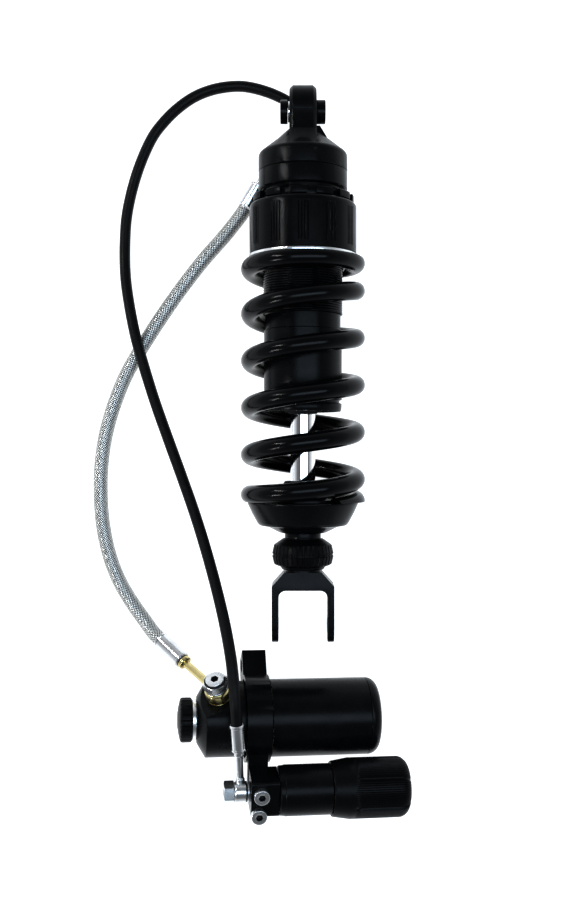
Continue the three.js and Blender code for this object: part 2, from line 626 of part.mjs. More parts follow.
function headFittings() {
  const { x, y, radius, thick, washer, head, hex, shank, shankEnd } = HEAD_BANJO;
  let level = CAP.rearFlat;
  const stack = (height) => {
    const top = level - GAP;
    level = top - height;
    return [level, top];
  };
  const at = (body) => body.translate([x, y, 0]);
  const inner = stack(washer);
  const eyeLevels = stack(thick);
  const outer = stack(washer);
  const headLevels = stack(head);
  const washerAt = ([low, high]) => at(discZ(7.4, low, high, SMALL).subtract(discZ(5, -BIG, BIG, SMALL)));
  add('head_crush_washer_inner', washerAt(inner), 'silver');
  add('head_crush_washer_outer', washerAt(outer), 'silver');
  const middle = (eyeLevels[0] + eyeLevels[1]) / 2;
  const stem = bar(through([
    [x - 5, y - 4, middle], [x - 9.5, y - 7.2, middle], [-26.6, -35.6, middle], [-28.6, -39, middle],
  ]), 2.6, 6, 8);
  const eyeBody = cut(join(at(discZ(radius, ...eyeLevels, SMALL)), stem), at(discZ(5, -BIG, BIG, SMALL)));
  add('head_banjo', eyeBody, 'silver');
  const bolthead = join(at(discZ(hex, ...headLevels, 6)), at(discZ(shank, headLevels[1] - 1, shankEnd, SMALL)));
  add('head_banjo_bolt', bolthead, 'silver');
  const start = new THREE.Vector3(-28.9, -39.5, middle);
  const direction = between(start, new THREE.Vector3(...BRAIDED_ROUTE[0]));
  const length = direction.length() - GAP;
  add('reservoir_hose_upper_ferrule', ferrule(5.7, length, start, direction), 'silver');
}

function portFittings() {
  const { bossZ, bossX, bossY } = PORT_RING;
  const thick = 6;
  const top = bossZ - GAP;
  const middle = top - thick / 2;
  const at = (body) => body.translate([bossX, bossY, 0]);
  const neck = disc(2.3, bossY + 5, -31, TINY).translate([bossX, 0, middle]);
  const eyeBody = cut(
    join(at(discZ(6.6, top - thick, top, SMALL)), neck),
    at(discZ(3.4, -BIG, BIG, SMALL)),
  );
  add('port_banjo', eyeBody, 'silver');
  const head = discZ(5.8, top - thick - GAP - 3, top - thick - GAP, 6);
  const shank = discZ(3, top - thick - 1, bossZ + 2.2, SMALL);
  add('port_banjo_bolt', at(join(head, shank)), 'silver');
  const start = new THREE.Vector3(bossX, -30.7, middle);
  const direction = between(start, new THREE.Vector3(...PRELOAD_ROUTE[0]));
  const length = direction.length() - GAP;
  add('preload_hose_upper_ferrule', ferrule(4.6, length, start, direction), 'silver');
}

shock.updateMatrixWorld(true);
const toUnit = unit.matrixWorld.clone().invert();

// A point of the whole shock in the unit's own frame.
function inUnit(point) {
  return new THREE.Vector3(...point).applyMatrix4(toUnit);
}

function between(from, to) {
  return new THREE.Vector3().subVectors(to, from);
}

function blockFittings() {
  const { banjoU, banjoLean, banjoTilt, banjoFace } = BLOCK;
  let level = banjoFace;
  const stack = (height) => {
    const low = level + GAP;
    level = low + height;
    return [low, level];
  };
  const washer = (span) => onBlock(discZ(7.4, ...span, SMALL).subtract(discZ(5, -BIG, BIG, SMALL)));
  add('block_crush_washer_inner', washer(stack(1)), 'brass', unit);
  const eyeSpan = stack(8);
  add('block_crush_washer_outer', washer(stack(1)), 'silver', unit);
  const [headLow, headTop] = stack(6.5);

  const hoseEnd = inUnit(BRAIDED_ROUTE.at(-1));
  const ferruleEnd = inUnit(LOWER_FERRULE_END);
  const along = between(hoseEnd, ferruleEnd).normalize();
  const from = hoseEnd.clone().addScaledVector(along, GAP);
  const length = from.distanceTo(ferruleEnd) - GAP;
  add('reservoir_hose_lower_ferrule', ferrule(5.7, length, from, along), 'silver', unit);

  const axis = new THREE.Vector3(0, 0, 1)
    .applyAxisAngle(new THREE.Vector3(0, 1, 0), banjoLean * DEGREE)
    .applyAxisAngle(new THREE.Vector3(1, 0, 0), -banjoTilt * DEGREE);
  const centre = new THREE.Vector3(banjoU, 0, 0)
    .addScaledVector(axis, (eyeSpan[0] + eyeSpan[1]) / 2);
  const knee = ferruleEnd.clone().addScaledVector(along, 4);
  const outward = between(centre, knee).projectOnPlane(axis).normalize();
  const [root, rim] = [6, 10.5].map((reach) => centre.clone().addScaledVector(outward, reach));
  const stem = bar(new THREE.CatmullRomCurve3([ferruleEnd, knee, rim, root]), 2.6, 8, 8);
  const eyeBody = join(onBlock(discZ(8, ...eyeSpan, SMALL)), stem);
  add('block_banjo', cut(eyeBody, onBlock(discZ(5, -BIG, BIG, SMALL))), 'brass', unit);

  const shank = onBlock(discZ(4.6, banjoFace - 8, headLow + 1, SMALL));
  const hex = onBlock(discZ(8.2, headLow, headTop - 1.6, 6));
  const crown = onBlock(discZ(6.4, headLow, headTop, SMALL));
  add('block_banjo_bolt', join(shank, hex, crown), 'silver', unit);
}

function adjusterFittings() {
  const { right, thick, radius, neckTilt, neckLean, neckLength, headLength } = PRELOAD_BANJO;
  const set = (body) => body.translate([0, ADJUSTER.v, 0]);
  const left = right - thick;
  const middle = (left + right) / 2;
  const neck = discZ(2.3, radius - 2, neckLength, TINY).rotate([neckTilt - 90, 0, neckLean]);
  const body = join(discX(radius, left, right, SMALL), neck.translate([middle, 0, 0]));
  add('adjuster_banjo', set(body.subtract(discX(3.4, -BIG, BIG, SMALL))), 'silver', unit);
  const head = discX(7.2, left - GAP - headLength, left - GAP, 6);
  const shank = discX(PRELOAD_BANJO_SHANK, left - 1, END_BLOCK.left + 3.3, SMALL);
  add('adjuster_banjo_bolt', set(join(head, shank)), 'silver', unit);
  const washer = ringX(3.4, 6.2, right + GAP, END_BLOCK.left - GAP, SMALL);
  add('adjuster_crush_washer', set(washer), 'silver', unit);
  const start = new THREE.Vector3(0, 0, neckLength + GAP)
    .applyAxisAngle(new THREE.Vector3(1, 0, 0), (neckTilt - 90) * DEGREE)
    .applyAxisAngle(new THREE.Vector3(0, 0, 1), neckLean * DEGREE)
    .add(new THREE.Vector3(middle, ADJUSTER.v, 0));
  const direction = between(start, inUnit(PRELOAD_ROUTE.at(-1)));
  const length = direction.length() - GAP;
  add('preload_hose_lower_ferrule', ferrule(4.6, length, start, direction), 'silver', unit);
}

function hoses() {
  add('reservoir_hose', bar(through(BRAIDED_ROUTE), BRAIDED_RADIUS, 32, 8), 'braid');
  add('preload_hose', bar(through(PRELOAD_ROUTE), PRELOAD_RADIUS, 44, 8), 'rubber');
}

eye();
headCap();
portRing();
damperTube();
lockRing();
preloadHousing();
upperSeat();
spring();
rodAndPiston();
bumpStop();
lowerSeat();
clevis();
reboundKnob();
reservoir();
valveBlock();
compressionKnob();
bracket();
endBlock();
adjuster();
headFittings();
portFittings();
blockFittings();
adjusterFittings();
hoses();

export default shock;
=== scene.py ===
import math

import bmesh
import bpy
from mathutils import Matrix, Vector


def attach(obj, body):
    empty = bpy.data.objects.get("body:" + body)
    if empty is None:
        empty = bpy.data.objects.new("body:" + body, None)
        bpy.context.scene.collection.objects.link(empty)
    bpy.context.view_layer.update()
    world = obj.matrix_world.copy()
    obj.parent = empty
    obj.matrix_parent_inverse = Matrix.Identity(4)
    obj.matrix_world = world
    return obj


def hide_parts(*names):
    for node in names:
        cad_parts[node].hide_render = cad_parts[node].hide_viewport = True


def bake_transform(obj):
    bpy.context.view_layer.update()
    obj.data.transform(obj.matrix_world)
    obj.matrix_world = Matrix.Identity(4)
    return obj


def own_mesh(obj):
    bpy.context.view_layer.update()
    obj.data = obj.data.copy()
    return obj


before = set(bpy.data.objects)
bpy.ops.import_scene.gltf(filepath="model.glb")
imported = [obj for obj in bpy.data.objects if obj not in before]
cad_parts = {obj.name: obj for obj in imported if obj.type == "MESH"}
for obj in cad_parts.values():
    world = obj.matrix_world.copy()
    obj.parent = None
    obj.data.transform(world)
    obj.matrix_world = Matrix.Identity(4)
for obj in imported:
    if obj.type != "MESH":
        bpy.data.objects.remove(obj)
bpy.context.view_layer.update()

# Lengths are in millimetres until a piece is finished, then in metres.
MM = 0.001
TAU = 2 * math.pi
GAP = 0.3
BIG = 400
PLAIN = Matrix.Identity(4)

# ---------------------------------------------------------------- dimensions

# Each route is a hose's centre line, from its ferrule at the head to its ferrule at the other end.
BRAIDED_RADIUS = 4.75
BRAIDED_ROUTE = [
    (-37.9, -54, -31), (-40.8, -58.4, -31.8), (-52, -71.9, -34.7), (-66.1, -88, -34.9),
    (-79.1, -104.6, -34.9), (-91, -121.2, -34.9), (-101.9, -137.7, -34.9), (-111.4, -152.9, -34.9),
    (-119.4, -167.5, -34.9), (-126.9, -186.6, -34.9), (-132.5, -206.9, -34.9),
    (-135.4, -228.4, -34.9), (-135.7, -246.6, -34.9), (-134.3, -265.7, -34.9),
    (-130.4, -284.9, -34.8), (-124, -302.3, -34.3), (-114.9, -317.5, -32.2),
    (-104.8, -330.4, -28.2), (-98.6, -337.7, -24.8), (-94.2, -341.1, -21.8),
]
LOWER_FERRULE_END = Vector((-77.8, -353.4, -10.5))
PRELOAD_RADIUS = 3.6
PRELOAD_ROUTE = [
    (5.2, -9.7, -33.4), (5.1, -5.6, -33.6), (4.2, 0.2, -34.4), (1.1, 7.4, -35.2),
    (-3.7, 13.6, -35.8), (-11, 19.2, -36), (-15.8, 21.7, -36), (-23.3, 24.8, -36),
    (-34.6, 27.9, -36), (-44.1, 28.8, -36), (-59.6, 26.7, -36), (-73, 21.5, -36),
    (-84.5, 13.4, -36), (-93.9, 4, -36), (-101.3, -6.1, -36), (-111.4, -29.7, -36),
    (-118, -56.6, -36), (-119.5, -76.2, -35.7), (-118.9, -98.1, -33.6), (-116.3, -116, -30.4),
    (-110.9, -141.2, -26.2), (-106.7, -155.9, -25.2), (-97.6, -184, -21.5), (-87.7, -210.4, -16.5),
    (-78.8, -233.2, -11), (-69.6, -257.6, -5), (-62.1, -279.5, 1.5), (-54.4, -304.7, 9.5),
    (-48.5, -326.8, 17.5), (-44.5, -346.2, 24.2), (-42.7, -360.2, 28.2), (-41.5, -373.5, 29.9),
    (-40.9, -384.4, 28.4),
]

# Where each unit lies: the reservoir, the adjuster beside it, and the banjo on the valve block.
UNIT = (
    Matrix.Translation((0, -389.5, -9.7))
    @ Matrix.Rotation(math.radians(-0.5), 4, "Z")
    @ Matrix.Rotation(math.radians(8), 4, "Y")
    @ Matrix.Rotation(math.radians(-34), 4, "X")
)
ADJUSTER_V = -46.9
ADJUSTER = UNIT @ Matrix.Translation((0, ADJUSTER_V, 0))
END_BLOCK = ADJUSTER @ Matrix.Rotation(math.radians(46), 4, "X")
BLOCK_BANJO = (
    UNIT @ Matrix.Translation((-51, 0, 0))
    @ Matrix.Rotation(math.radians(-20), 4, "X")
    @ Matrix.Rotation(math.radians(-12), 4, "Y")
)

# These turn a shape that is drawn about Y to lie along X or Z, and turn it over.
TURN_X = Matrix.Rotation(math.radians(-90), 4, "Z")
TURN_Z = Matrix.Rotation(math.radians(90), 4, "X")
FLIP = Matrix.Rotation(math.pi, 4, "X")
U_AXIS = UNIT @ TURN_X
A_AXIS = ADJUSTER @ TURN_X

# ---------------------------------------------------------------- camera

camera_data = bpy.data.cameras.new("camera")
camera_data.sensor_width = 36
camera_data.lens = 42.8
camera = bpy.data.objects.new("camera", camera_data)
camera.location = (-0.006, -0.2163, 0.685)
bpy.context.scene.collection.objects.link(camera)
bpy.context.scene.camera = camera

# ---------------------------------------------------------------- making shapes


def smoothed_curve(route, step=1.0):
    """Points every step along a centripetal Catmull-Rom curve through the route."""
    knots = [Vector(p) for p in route]
    first = knots[0] * 2 - knots[1]
    last = knots[-1] * 2 - knots[-2]
    knots = [first, *knots, last]
    out = []
    for i in range(1, len(knots) - 2):
        p0, p1, p2, p3 = knots[i - 1:i + 3]
        t0 = 0
        t1 = t0 + math.sqrt((p1 - p0).length)
        t2 = t1 + math.sqrt((p2 - p1).length)
        t3 = t2 + math.sqrt((p3 - p2).length)
        count = max(2, round((p2 - p1).length / step))
        for k in range(count):
            t = t1 + (t2 - t1) * k / count
            a1 = p0.lerp(p1, (t - t0) / (t1 - t0))
            a2 = p1.lerp(p2, (t - t1) / (t2 - t1))
            a3 = p2.lerp(p3, (t - t2) / (t3 - t2))
            b1 = a1.lerp(a2, (t - t0) / (t2 - t0))
            b2 = a2.lerp(a3, (t - t1) / (t3 - t1))
            out.append(b1.lerp(b2, (t - t1) / (t2 - t1)))
    out.append(knots[-2])
    return out


def raw(verts, faces, uvs=None):
    """A loose object of these vertices and faces, its faces pointing out."""
    mesh = bpy.data.meshes.new("raw")
    mesh.from_pydata([tuple(v) for v in verts], [], faces)
    if uvs:
        layer = mesh.uv_layers.new(name="along")
        for loop, uv in zip(layer.data, uvs):
            loop.uv = uv
    bm = bmesh.new()
    bm.from_mesh(mesh)
    bmesh.ops.recalc_face_normals(bm, faces=bm.faces)
    bm.to_mesh(mesh)
    bm.free()
    made = bpy.data.objects.new("raw", mesh)
    bpy.context.scene.collection.objects.link(made)
    return made


def turned(profile, sides=96, place=PLAIN, wave=None):
    """A profile of (radius, y) turned about Y. wave(angle, y, radius) may change a point's radius."""
    verts = []
    rows = []
    for radius, y in profile:
        if radius < 1e-6:
            rows.append([len(verts)])
            verts.append(place @ Vector((0, y, 0)))
            continue
        row = []
        for k in range(sides):
            angle = TAU * k / sides
            r = wave(angle, y, radius) if wave else radius
            row.append(len(verts))
            verts.append(place @ Vector((r * math.sin(angle), y, r * math.cos(angle))))
        rows.append(row)
    on_axis = len(rows[0]) == 1 and len(rows[-1]) == 1
    pairs = list(zip(rows, rows[1:]))
    if not on_axis:
        pairs.append((rows[-1], rows[0]))
    faces = []
    for a, b in pairs:
        for k in range(sides):
            n = (k + 1) % sides
            if len(a) == 1 and len(b) == 1:
                continue
            if len(a) == 1:
                faces.append((a[0], b[k], b[n]))
            elif len(b) == 1:
                faces.append((a[k], a[n], b[0]))
            else:
                faces.append((a[k], a[n], b[n], b[k]))
    return raw(verts, faces)


def eased(profile, radius=0.4, steps=3):
    """The profile with each corner rounded, away from the axis."""
    closed = profile[0][0] > 1e-6
    points = [Vector(p) for p in profile]
    out = []
    count = len(points)
    for i, p in enumerate(points):
        ends = not closed and i in (0, count - 1)
        if ends or p.x < 1e-6:
            out.append(tuple(p))
            continue
        before = points[i - 1] - p
        after = points[(i + 1) % count] - p
        if before.length < 1e-6 or after.length < 1e-6:
            out.append(tuple(p))
            continue
        bend = math.pi - before.angle(after)
        if bend < 0.12:
            out.append(tuple(p))
            continue
        reach = min(radius * math.tan(bend / 2), before.length * 0.45, after.length * 0.45)
        start = p + before.normalized() * reach
        end = p + after.normalized() * reach
        for k in range(steps + 1):
            t = k / steps
            out.append(tuple(start * (1 - t) ** 2 + p * 2 * t * (1 - t) + end * t ** 2))
    return out


def arc(cx, cy, radius, start, end, steps):
    """Points on an arc, angles in degrees."""
    out = []
    for k in range(steps + 1):
        angle = math.radians(start + (end - start) * k / steps)
        out.append((cx + radius * math.cos(angle), cy + radius * math.sin(angle)))
    return out


def ring(inner, outer, low, high, place=PLAIN, sides=96, ease=0.3):
    profile = [(inner, low), (outer, low), (outer, high), (inner, high)]
    return turned(eased(profile, ease), sides, place)


def disc(radius, low, high, place=PLAIN, sides=96, ease=0):
    profile = [(0, low), (radius, low), (radius, high), (0, high)]
    return turned(eased(profile, ease) if ease else profile, sides, place)


def prism(outline, low, high, place=PLAIN):
    """A flat outline of (x, y), thick along Z between two levels."""
    count = len(outline)
    verts = [place @ Vector((x, y, z)) for z in (low, high) for x, y in outline]
    faces = [tuple(range(count)), tuple(range(count, 2 * count))]
    for k in range(count):
        n = (k + 1) % count
        faces.append((k, n, count + n, count + k))
    return raw(verts, faces)


def box(low, high, place=PLAIN):
    outline = [(low[0], low[1]), (high[0], low[1]), (high[0], high[1]), (low[0], high[1])]
    return prism(outline, low[2], high[2], place)


def swept(points, radius, sides=24, wave=None):
    """A round bar along points. Its uv layer holds the length along it and the share of a turn round it."""
    tangents = []
    for i, p in enumerate(points):
        a = points[max(i - 1, 0)]
        b = points[min(i + 1, len(points) - 1)]
        tangents.append((b - a).normalized())
    side = tangents[0].orthogonal().normalized()
    verts = []
    along = [0.0]
    for a, b in zip(points, points[1:]):
        along.append(along[-1] + (b - a).length)
    for p, tangent, s in zip(points, tangents, along):
        side = (side - tangent * side.dot(tangent)).normalized()
        up = tangent.cross(side)
        for k in range(sides):
            angle = TAU * k / sides
            r = wave(s, angle) if wave else radius
            verts.append(p + side * (r * math.cos(angle)) + up * (r * math.sin(angle)))
    faces = []
    uvs = []
    for i in range(len(points) - 1):
        for k in range(sides):
            n = (k + 1) % sides
            a = i * sides
            b = a + sides
            faces.append((a + k, b + k, b + n, a + n))
            share = (k / sides, (k + 1) / sides)
            uvs += [(along[i], share[0]), (along[i + 1], share[0]),
                    (along[i + 1], share[1]), (along[i], share[1])]
    last = (len(points) - 1) * sides
    faces.append(tuple(range(sides - 1, -1, -1)))
    uvs += [(0, k / sides) for k in range(sides - 1, -1, -1)]
    faces.append(tuple(range(last, last + sides)))
    uvs += [(along[-1], k / sides) for k in range(sides)]
    return raw(verts, faces, uvs)


def combined(body, tools, operation):
    """The body after a boolean operation with each tool. The tools are used up."""
    for tool in tools:
        change = body.modifiers.new("change", "BOOLEAN")
        change.operation = operation
        change.solver = "MANIFOLD"
        change.object = tool
    bpy.context.view_layer.update()
    shown = body.evaluated_get(bpy.context.evaluated_depsgraph_get())
    mesh = bpy.data.meshes.new_from_object(shown)
    body.modifiers.clear()
    body.data = mesh
    for tool in tools:
        bpy.data.objects.remove(tool)
    return body


def cut(body, *tools):
    return combined(body, tools, "DIFFERENCE")


def join(body, *tools):
    return combined(body, tools, "UNION")


def meet(body, *tools):
    return combined(body, tools, "INTERSECT")


def aimed(at, direction):
    """The frame whose Y axis runs along a direction from a point."""
    turn = Vector((0, 1, 0)).rotation_difference(Vector(direction))
    return Matrix.Translation(at) @ turn.to_matrix().to_4x4()


def piece(name, made, finish, body, *nodes, edge=0.0, sharp=32, steps=2):
    """Finishes a shape: its edges, name, finish and body. It stands for the CAD nodes, which it hides."""
    made.name = name
    made.data.name = name
    made.data.transform(Matrix.Scale(MM, 4))
    if edge:
        bevel = made.modifiers.new("edge", "BEVEL")
        bevel.width = edge * MM
        bevel.segments = steps
        bevel.limit_method = "ANGLE"
        bevel.angle_limit = math.radians(sharp)
        bevel.use_clamp_overlap = True
        bpy.context.view_layer.update()
        shown = made.evaluated_get(bpy.context.evaluated_depsgraph_get())
        mesh = bpy.data.meshes.new_from_object(shown)
        made.modifiers.clear()
        made.data = mesh
        mesh.name = name
    made.data.shade_smooth()
    made.data.set_sharp_from_angle(angle=math.radians(sharp))
    material, slot = FINISHES[finish]
    made.data.materials.clear()
    made.data.materials.append(material)
    if body:
        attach(made, body)
    if nodes:
        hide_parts(*nodes)
    return made


def paint_socket_shade(made, place, radius, top):
    """Paints shade into a key socket: its walls and floor get the dark recess material, painted shade for the
    dark that a deep socket holds.
    """
    made.data.materials.append(FINISHES["socket"][0])
    to_socket = place.inverted()
    for face in made.data.polygons:
        at = to_socket @ (face.center / MM)
        if math.hypot(at.x, at.y) < radius and top - 5 < at.z < top - 0.3:
            face.material_index = 1


# ---------------------------------------------------------------- materials

BLACK = (0.0042, 0.0046, 0.0055)
SCUFF = (0.05, 0.055, 0.06, 1)
BRAID_PITCH = 3.4
BRAID_STRANDS = 9


def material(name, colour, metallic, roughness, *, grain=0.0, grain_scale=2500, spread=0.06,
             spread_scale=60, wear=0.0, coat=0.0, specular=0.5, tint=0.12, rings=0.0):
    """Metal, paint or rubber: uneven roughness, a fine grain, slight colour variation and faint scuffs."""
    made = bpy.data.materials.new(name)
    made.use_nodes = True
    nodes = made.node_tree.nodes
    links = made.node_tree.links
    shader = nodes["Principled BSDF"]
    shader.inputs["Metallic"].default_value = metallic
    shader.inputs["Specular IOR Level"].default_value = specular
    shader.inputs["Coat Weight"].default_value = coat
    shader.inputs["Coat Roughness"].default_value = 0.08
    place = nodes.new("ShaderNodeTexCoord")

    def noise(scale, detail=3.0):
        node = nodes.new("ShaderNodeTexNoise")
        node.inputs["Scale"].default_value = scale
        node.inputs["Detail"].default_value = detail
        links.new(place.outputs["Object"], node.inputs["Vector"])
        return node.outputs["Fac"]

    def ranged(source, low, high, a=0.3, b=0.7):
        node = nodes.new("ShaderNodeMapRange")
        node.inputs["From Min"].default_value = a
        node.inputs["From Max"].default_value = b
        node.inputs["To Min"].default_value = low
        node.inputs["To Max"].default_value = high
        links.new(source, node.inputs["Value"])
        return node.outputs["Result"]

    uneven = ranged(noise(spread_scale), roughness - spread, roughness + spread)
    links.new(uneven, shader.inputs["Roughness"])

    mixed = nodes.new("ShaderNodeMix")
    mixed.data_type = "RGBA"
    mixed.inputs["A"].default_value = (*[c * (1 - tint) for c in colour], 1)
    mixed.inputs["B"].default_value = (*[c * (1 + tint) for c in colour], 1)
    links.new(ranged(noise(spread_scale * 2.3), 0, 1), mixed.inputs["Factor"])
    base = mixed.outputs["Result"]
    if wear:
        scuffs = nodes.new("ShaderNodeMix")
        scuffs.data_type = "RGBA"
        links.new(ranged(noise(900, 4.0), 0, wear, 0.6, 0.72), scuffs.inputs["Factor"])
        links.new(base, scuffs.inputs["A"])
        scuffs.inputs["B"].default_value = SCUFF
        base = scuffs.outputs["Result"]
    links.new(base, shader.inputs["Base Color"])

    height = noise(grain_scale, 2.0)
    if rings:
        wave = nodes.new("ShaderNodeTexWave")
        wave.bands_direction = "Y"
        wave.inputs["Scale"].default_value = 900
        wave.inputs["Distortion"].default_value = 2.0
        wave.inputs["Detail"].default_value = 2.0
        links.new(place.outputs["Object"], wave.inputs["Vector"])
        both = nodes.new("ShaderNodeMath")
        both.operation = "MULTIPLY_ADD"
        both.inputs[1].default_value = rings
        links.new(wave.outputs["Fac"], both.inputs[0])
        links.new(height, both.inputs[2])
        height = both.outputs["Value"]
    bump = nodes.new("ShaderNodeBump")
    bump.inputs["Strength"].default_value = grain
    bump.inputs["Distance"].default_value = 0.0002
    links.new(height, bump.inputs["Height"])
    links.new(bump.outputs["Normal"], shader.inputs["Normal"])
    return made


def braid_material():
    """Steel braid: two sets of flat strands that cross at 45 degrees, over and under."""
    made = bpy.data.materials.new("steel_braid")
    made.use_nodes = True
    nodes = made.node_tree.nodes
    links = made.node_tree.links
    shader = nodes["Principled BSDF"]
    shader.inputs["Metallic"].default_value = 0.7
    place = nodes.new("ShaderNodeUVMap")
    place.uv_map = "along"
    split = nodes.new("ShaderNodeSeparateXYZ")
    links.new(place.outputs["UV"], split.inputs["Vector"])

    def maths(operation, a, b=None):
        node = nodes.new("ShaderNodeMath")
        node.operation = operation
        for i, value in enumerate((a, b)):
            if value is None:
                continue
            if isinstance(value, (int, float)):
                node.inputs[i].default_value = value
            else:
                links.new(value, node.inputs[i])
        return node.outputs["Value"]

    length = maths("MULTIPLY", split.outputs["X"], TAU / BRAID_PITCH)
    turn = maths("MULTIPLY", split.outputs["Y"], TAU * BRAID_STRANDS)
    one = maths("ABSOLUTE", maths("SINE", maths("ADD", length, turn)))
    two = maths("ABSOLUTE", maths("SINE", maths("SUBTRACT", length, turn)))
    height = maths("MAXIMUM", one, two)
    fine = nodes.new("ShaderNodeTexNoise")
    fine.inputs["Scale"].default_value = 1800
    texture = nodes.new("ShaderNodeTexCoord")
    links.new(texture.outputs["Object"], fine.inputs["Vector"])
    # The strands' colour is partly painted shade and painted highlight: near black between and beside the
    # strands, where shade falls and the dark hose shows through, and pale steel only on their crests.
    ramp = nodes.new("ShaderNodeValToRGB")
    ramp.color_ramp.elements[0].position = 0.8
    ramp.color_ramp.elements[0].color = (0.008, 0.008, 0.008, 1)
    ramp.color_ramp.elements[1].position = 0.97
    ramp.color_ramp.elements[1].color = (0.86, 0.86, 0.83, 1)
    links.new(height, ramp.inputs["Fac"])
    links.new(ramp.outputs["Color"], shader.inputs["Base Color"])
    rough = nodes.new("ShaderNodeMapRange")
    rough.inputs["To Min"].default_value = 0.22
    rough.inputs["To Max"].default_value = 0.45
    links.new(fine.outputs["Fac"], rough.inputs["Value"])
    links.new(rough.outputs["Result"], shader.inputs["Roughness"])
    bump = nodes.new("ShaderNodeBump")
    bump.inputs["Strength"].default_value = 0.9
    bump.inputs["Distance"].default_value = 0.0004
    links.new(height, bump.inputs["Height"])
    links.new(bump.outputs["Normal"], shader.inputs["Normal"])
    return made


FINISHES = {
    "anodised": (material("black_anodising", BLACK, 0.0, 0.25, grain=0.15, wear=0.1, specular=0.13,
                          tint=0.2), "black_anodised"),
    "turned": (material("black_anodising_turned", BLACK, 0.0, 0.2, grain=0.12, rings=0.3, wear=0.1,
                        specular=0.13), "black_anodised"),
    "knob": (material("black_anodising_knob", (0.0038, 0.004, 0.0048), 0.0, 0.34, grain=0.15, wear=0.1,
                      specular=0.13), "black_anodised"),
    "cast": (material("black_cast", (0.0036, 0.0042, 0.005), 0.0, 0.28, grain=0.25, grain_scale=1400,
                      wear=0.1, tint=0.2, specular=0.14), "black_cast"),
    "spring": (material("spring_enamel", (0.0028, 0.003, 0.0036), 0.0, 0.2, grain=0.12, grain_scale=420,
                        coat=0.05, spread=0.04, specular=0.15), "spring_black"),
    "silver": (material("silver_anodising", (0.78, 0.79, 0.8), 1.0, 0.28, grain=0.2, rings=0.15,
                        tint=0.05), "silver_aluminium"),
    "zinc": (material("bright_zinc", (0.68, 0.69, 0.7), 1.0, 0.24, grain=0.02, spread=0.04,
                      tint=0.06), "silver_aluminium"),
    "steel": (material("ground_steel", (0.55, 0.56, 0.58), 1.0, 0.3, grain=0.2, rings=0.2,
                       tint=0.08), "plain_steel"),
    "chrome": (material("hard_chrome", (0.86, 0.87, 0.88), 1.0, 0.07, grain=0.03, spread=0.02,
                        tint=0.02), "hard_chrome"),
    "gold": (material("yellow_zinc", (0.6, 0.52, 0.28), 1.0, 0.26, grain=0.05, spread=0.06,
                      tint=0.12), "gold_plated"),
    "rubber": (material("hose_rubber", (0.0045, 0.0048, 0.0052), 0.0, 0.42, grain=0.3, grain_scale=1900,
                        spread=0.08, tint=0.25, specular=0.2), "black_rubber"),
    "foam": (material("bump_foam", (0.008, 0.008, 0.008), 0.0, 0.85, grain=0.9, grain_scale=1500,
                      tint=0.3), "black_rubber"),
    # The socket finish is painted shade: a dark material laid inside key sockets, where shade falls.
    "socket": (material("painted_recess_shade", (0.012, 0.012, 0.012), 0.3, 0.6, grain=0.3), "plain_steel"),
    "plastic": (material("piston_band", (0.62, 0.58, 0.48), 0.0, 0.6, grain=0.3), "piston_band_plastic"),
    "braid": (braid_material(), "steel_braid"),
}

# ---------------------------------------------------------------- hoses and their fittings


def ribbed(radius, length):
    """A crimped ferrule's profile: a plain sleeve with a rolled lip at each end."""
    lip = 0.35
    return [
        (0, 0), (radius - 0.5, 0), (radius, 0.6), (radius, 1.6), (radius - lip, 2.0),
        (radius - lip, length - 2.0), (radius, length - 1.6), (radius, length - 0.6),
        (radius - 0.6, length), (0, length),
    ]


SOCKET_DEPTH = 3


def six_corners(radius):
    return [(radius * math.cos(TAU * k / 6), radius * math.sin(TAU * k / 6)) for k in range(6)]


def hexagon(across, height, place, crown=0.0, socket=0.0):
    """A bolt head from level 0 up, its corners chamfered, with a raised crown and a hexagon socket."""
    radius = across / math.sqrt(3)
    head = prism(six_corners(radius), 0, height)
    flat = across / 2
    cone = turned([(0, -1), (radius + 1, -1), (radius + 1, height - 1.1), (flat - 0.3, height + 0.05),
                   (0, height + 0.05)], 64, TURN_Z)
    head = meet(head, cone)
    if crown:
        head = join(head, disc(flat * 0.82, height - 1, height + crown, TURN_Z, 64, 0.3))
    if socket:
        head = cut(head, prism(six_corners(socket), height + crown - SOCKET_DEPTH, BIG))
    head.data.transform(place)
    return head


def braid_wave(s, angle):
    """The braid's radius at a length along the hose: the strands that braid_material draws, in relief."""
    one = abs(math.sin(TAU * s / BRAID_PITCH + BRAID_STRANDS * angle))
    two = abs(math.sin(TAU * s / BRAID_PITCH - BRAID_STRANDS * angle))
    return BRAIDED_RADIUS - 0.22 + 0.24 * max(one, two)


braided_line = smoothed_curve(BRAIDED_ROUTE, 0.45)
braided = piece("reservoir_hose_braid", swept(braided_line, BRAIDED_RADIUS, 96, braid_wave),
                "braid", "shock_body", "reservoir_hose", sharp=80)
preload_line = smoothed_curve(PRELOAD_ROUTE, 1.0)
preload = piece("preload_hose_skin", swept(preload_line, PRELOAD_RADIUS, 32), "rubber",
                "shock_body", "preload_hose", sharp=60)

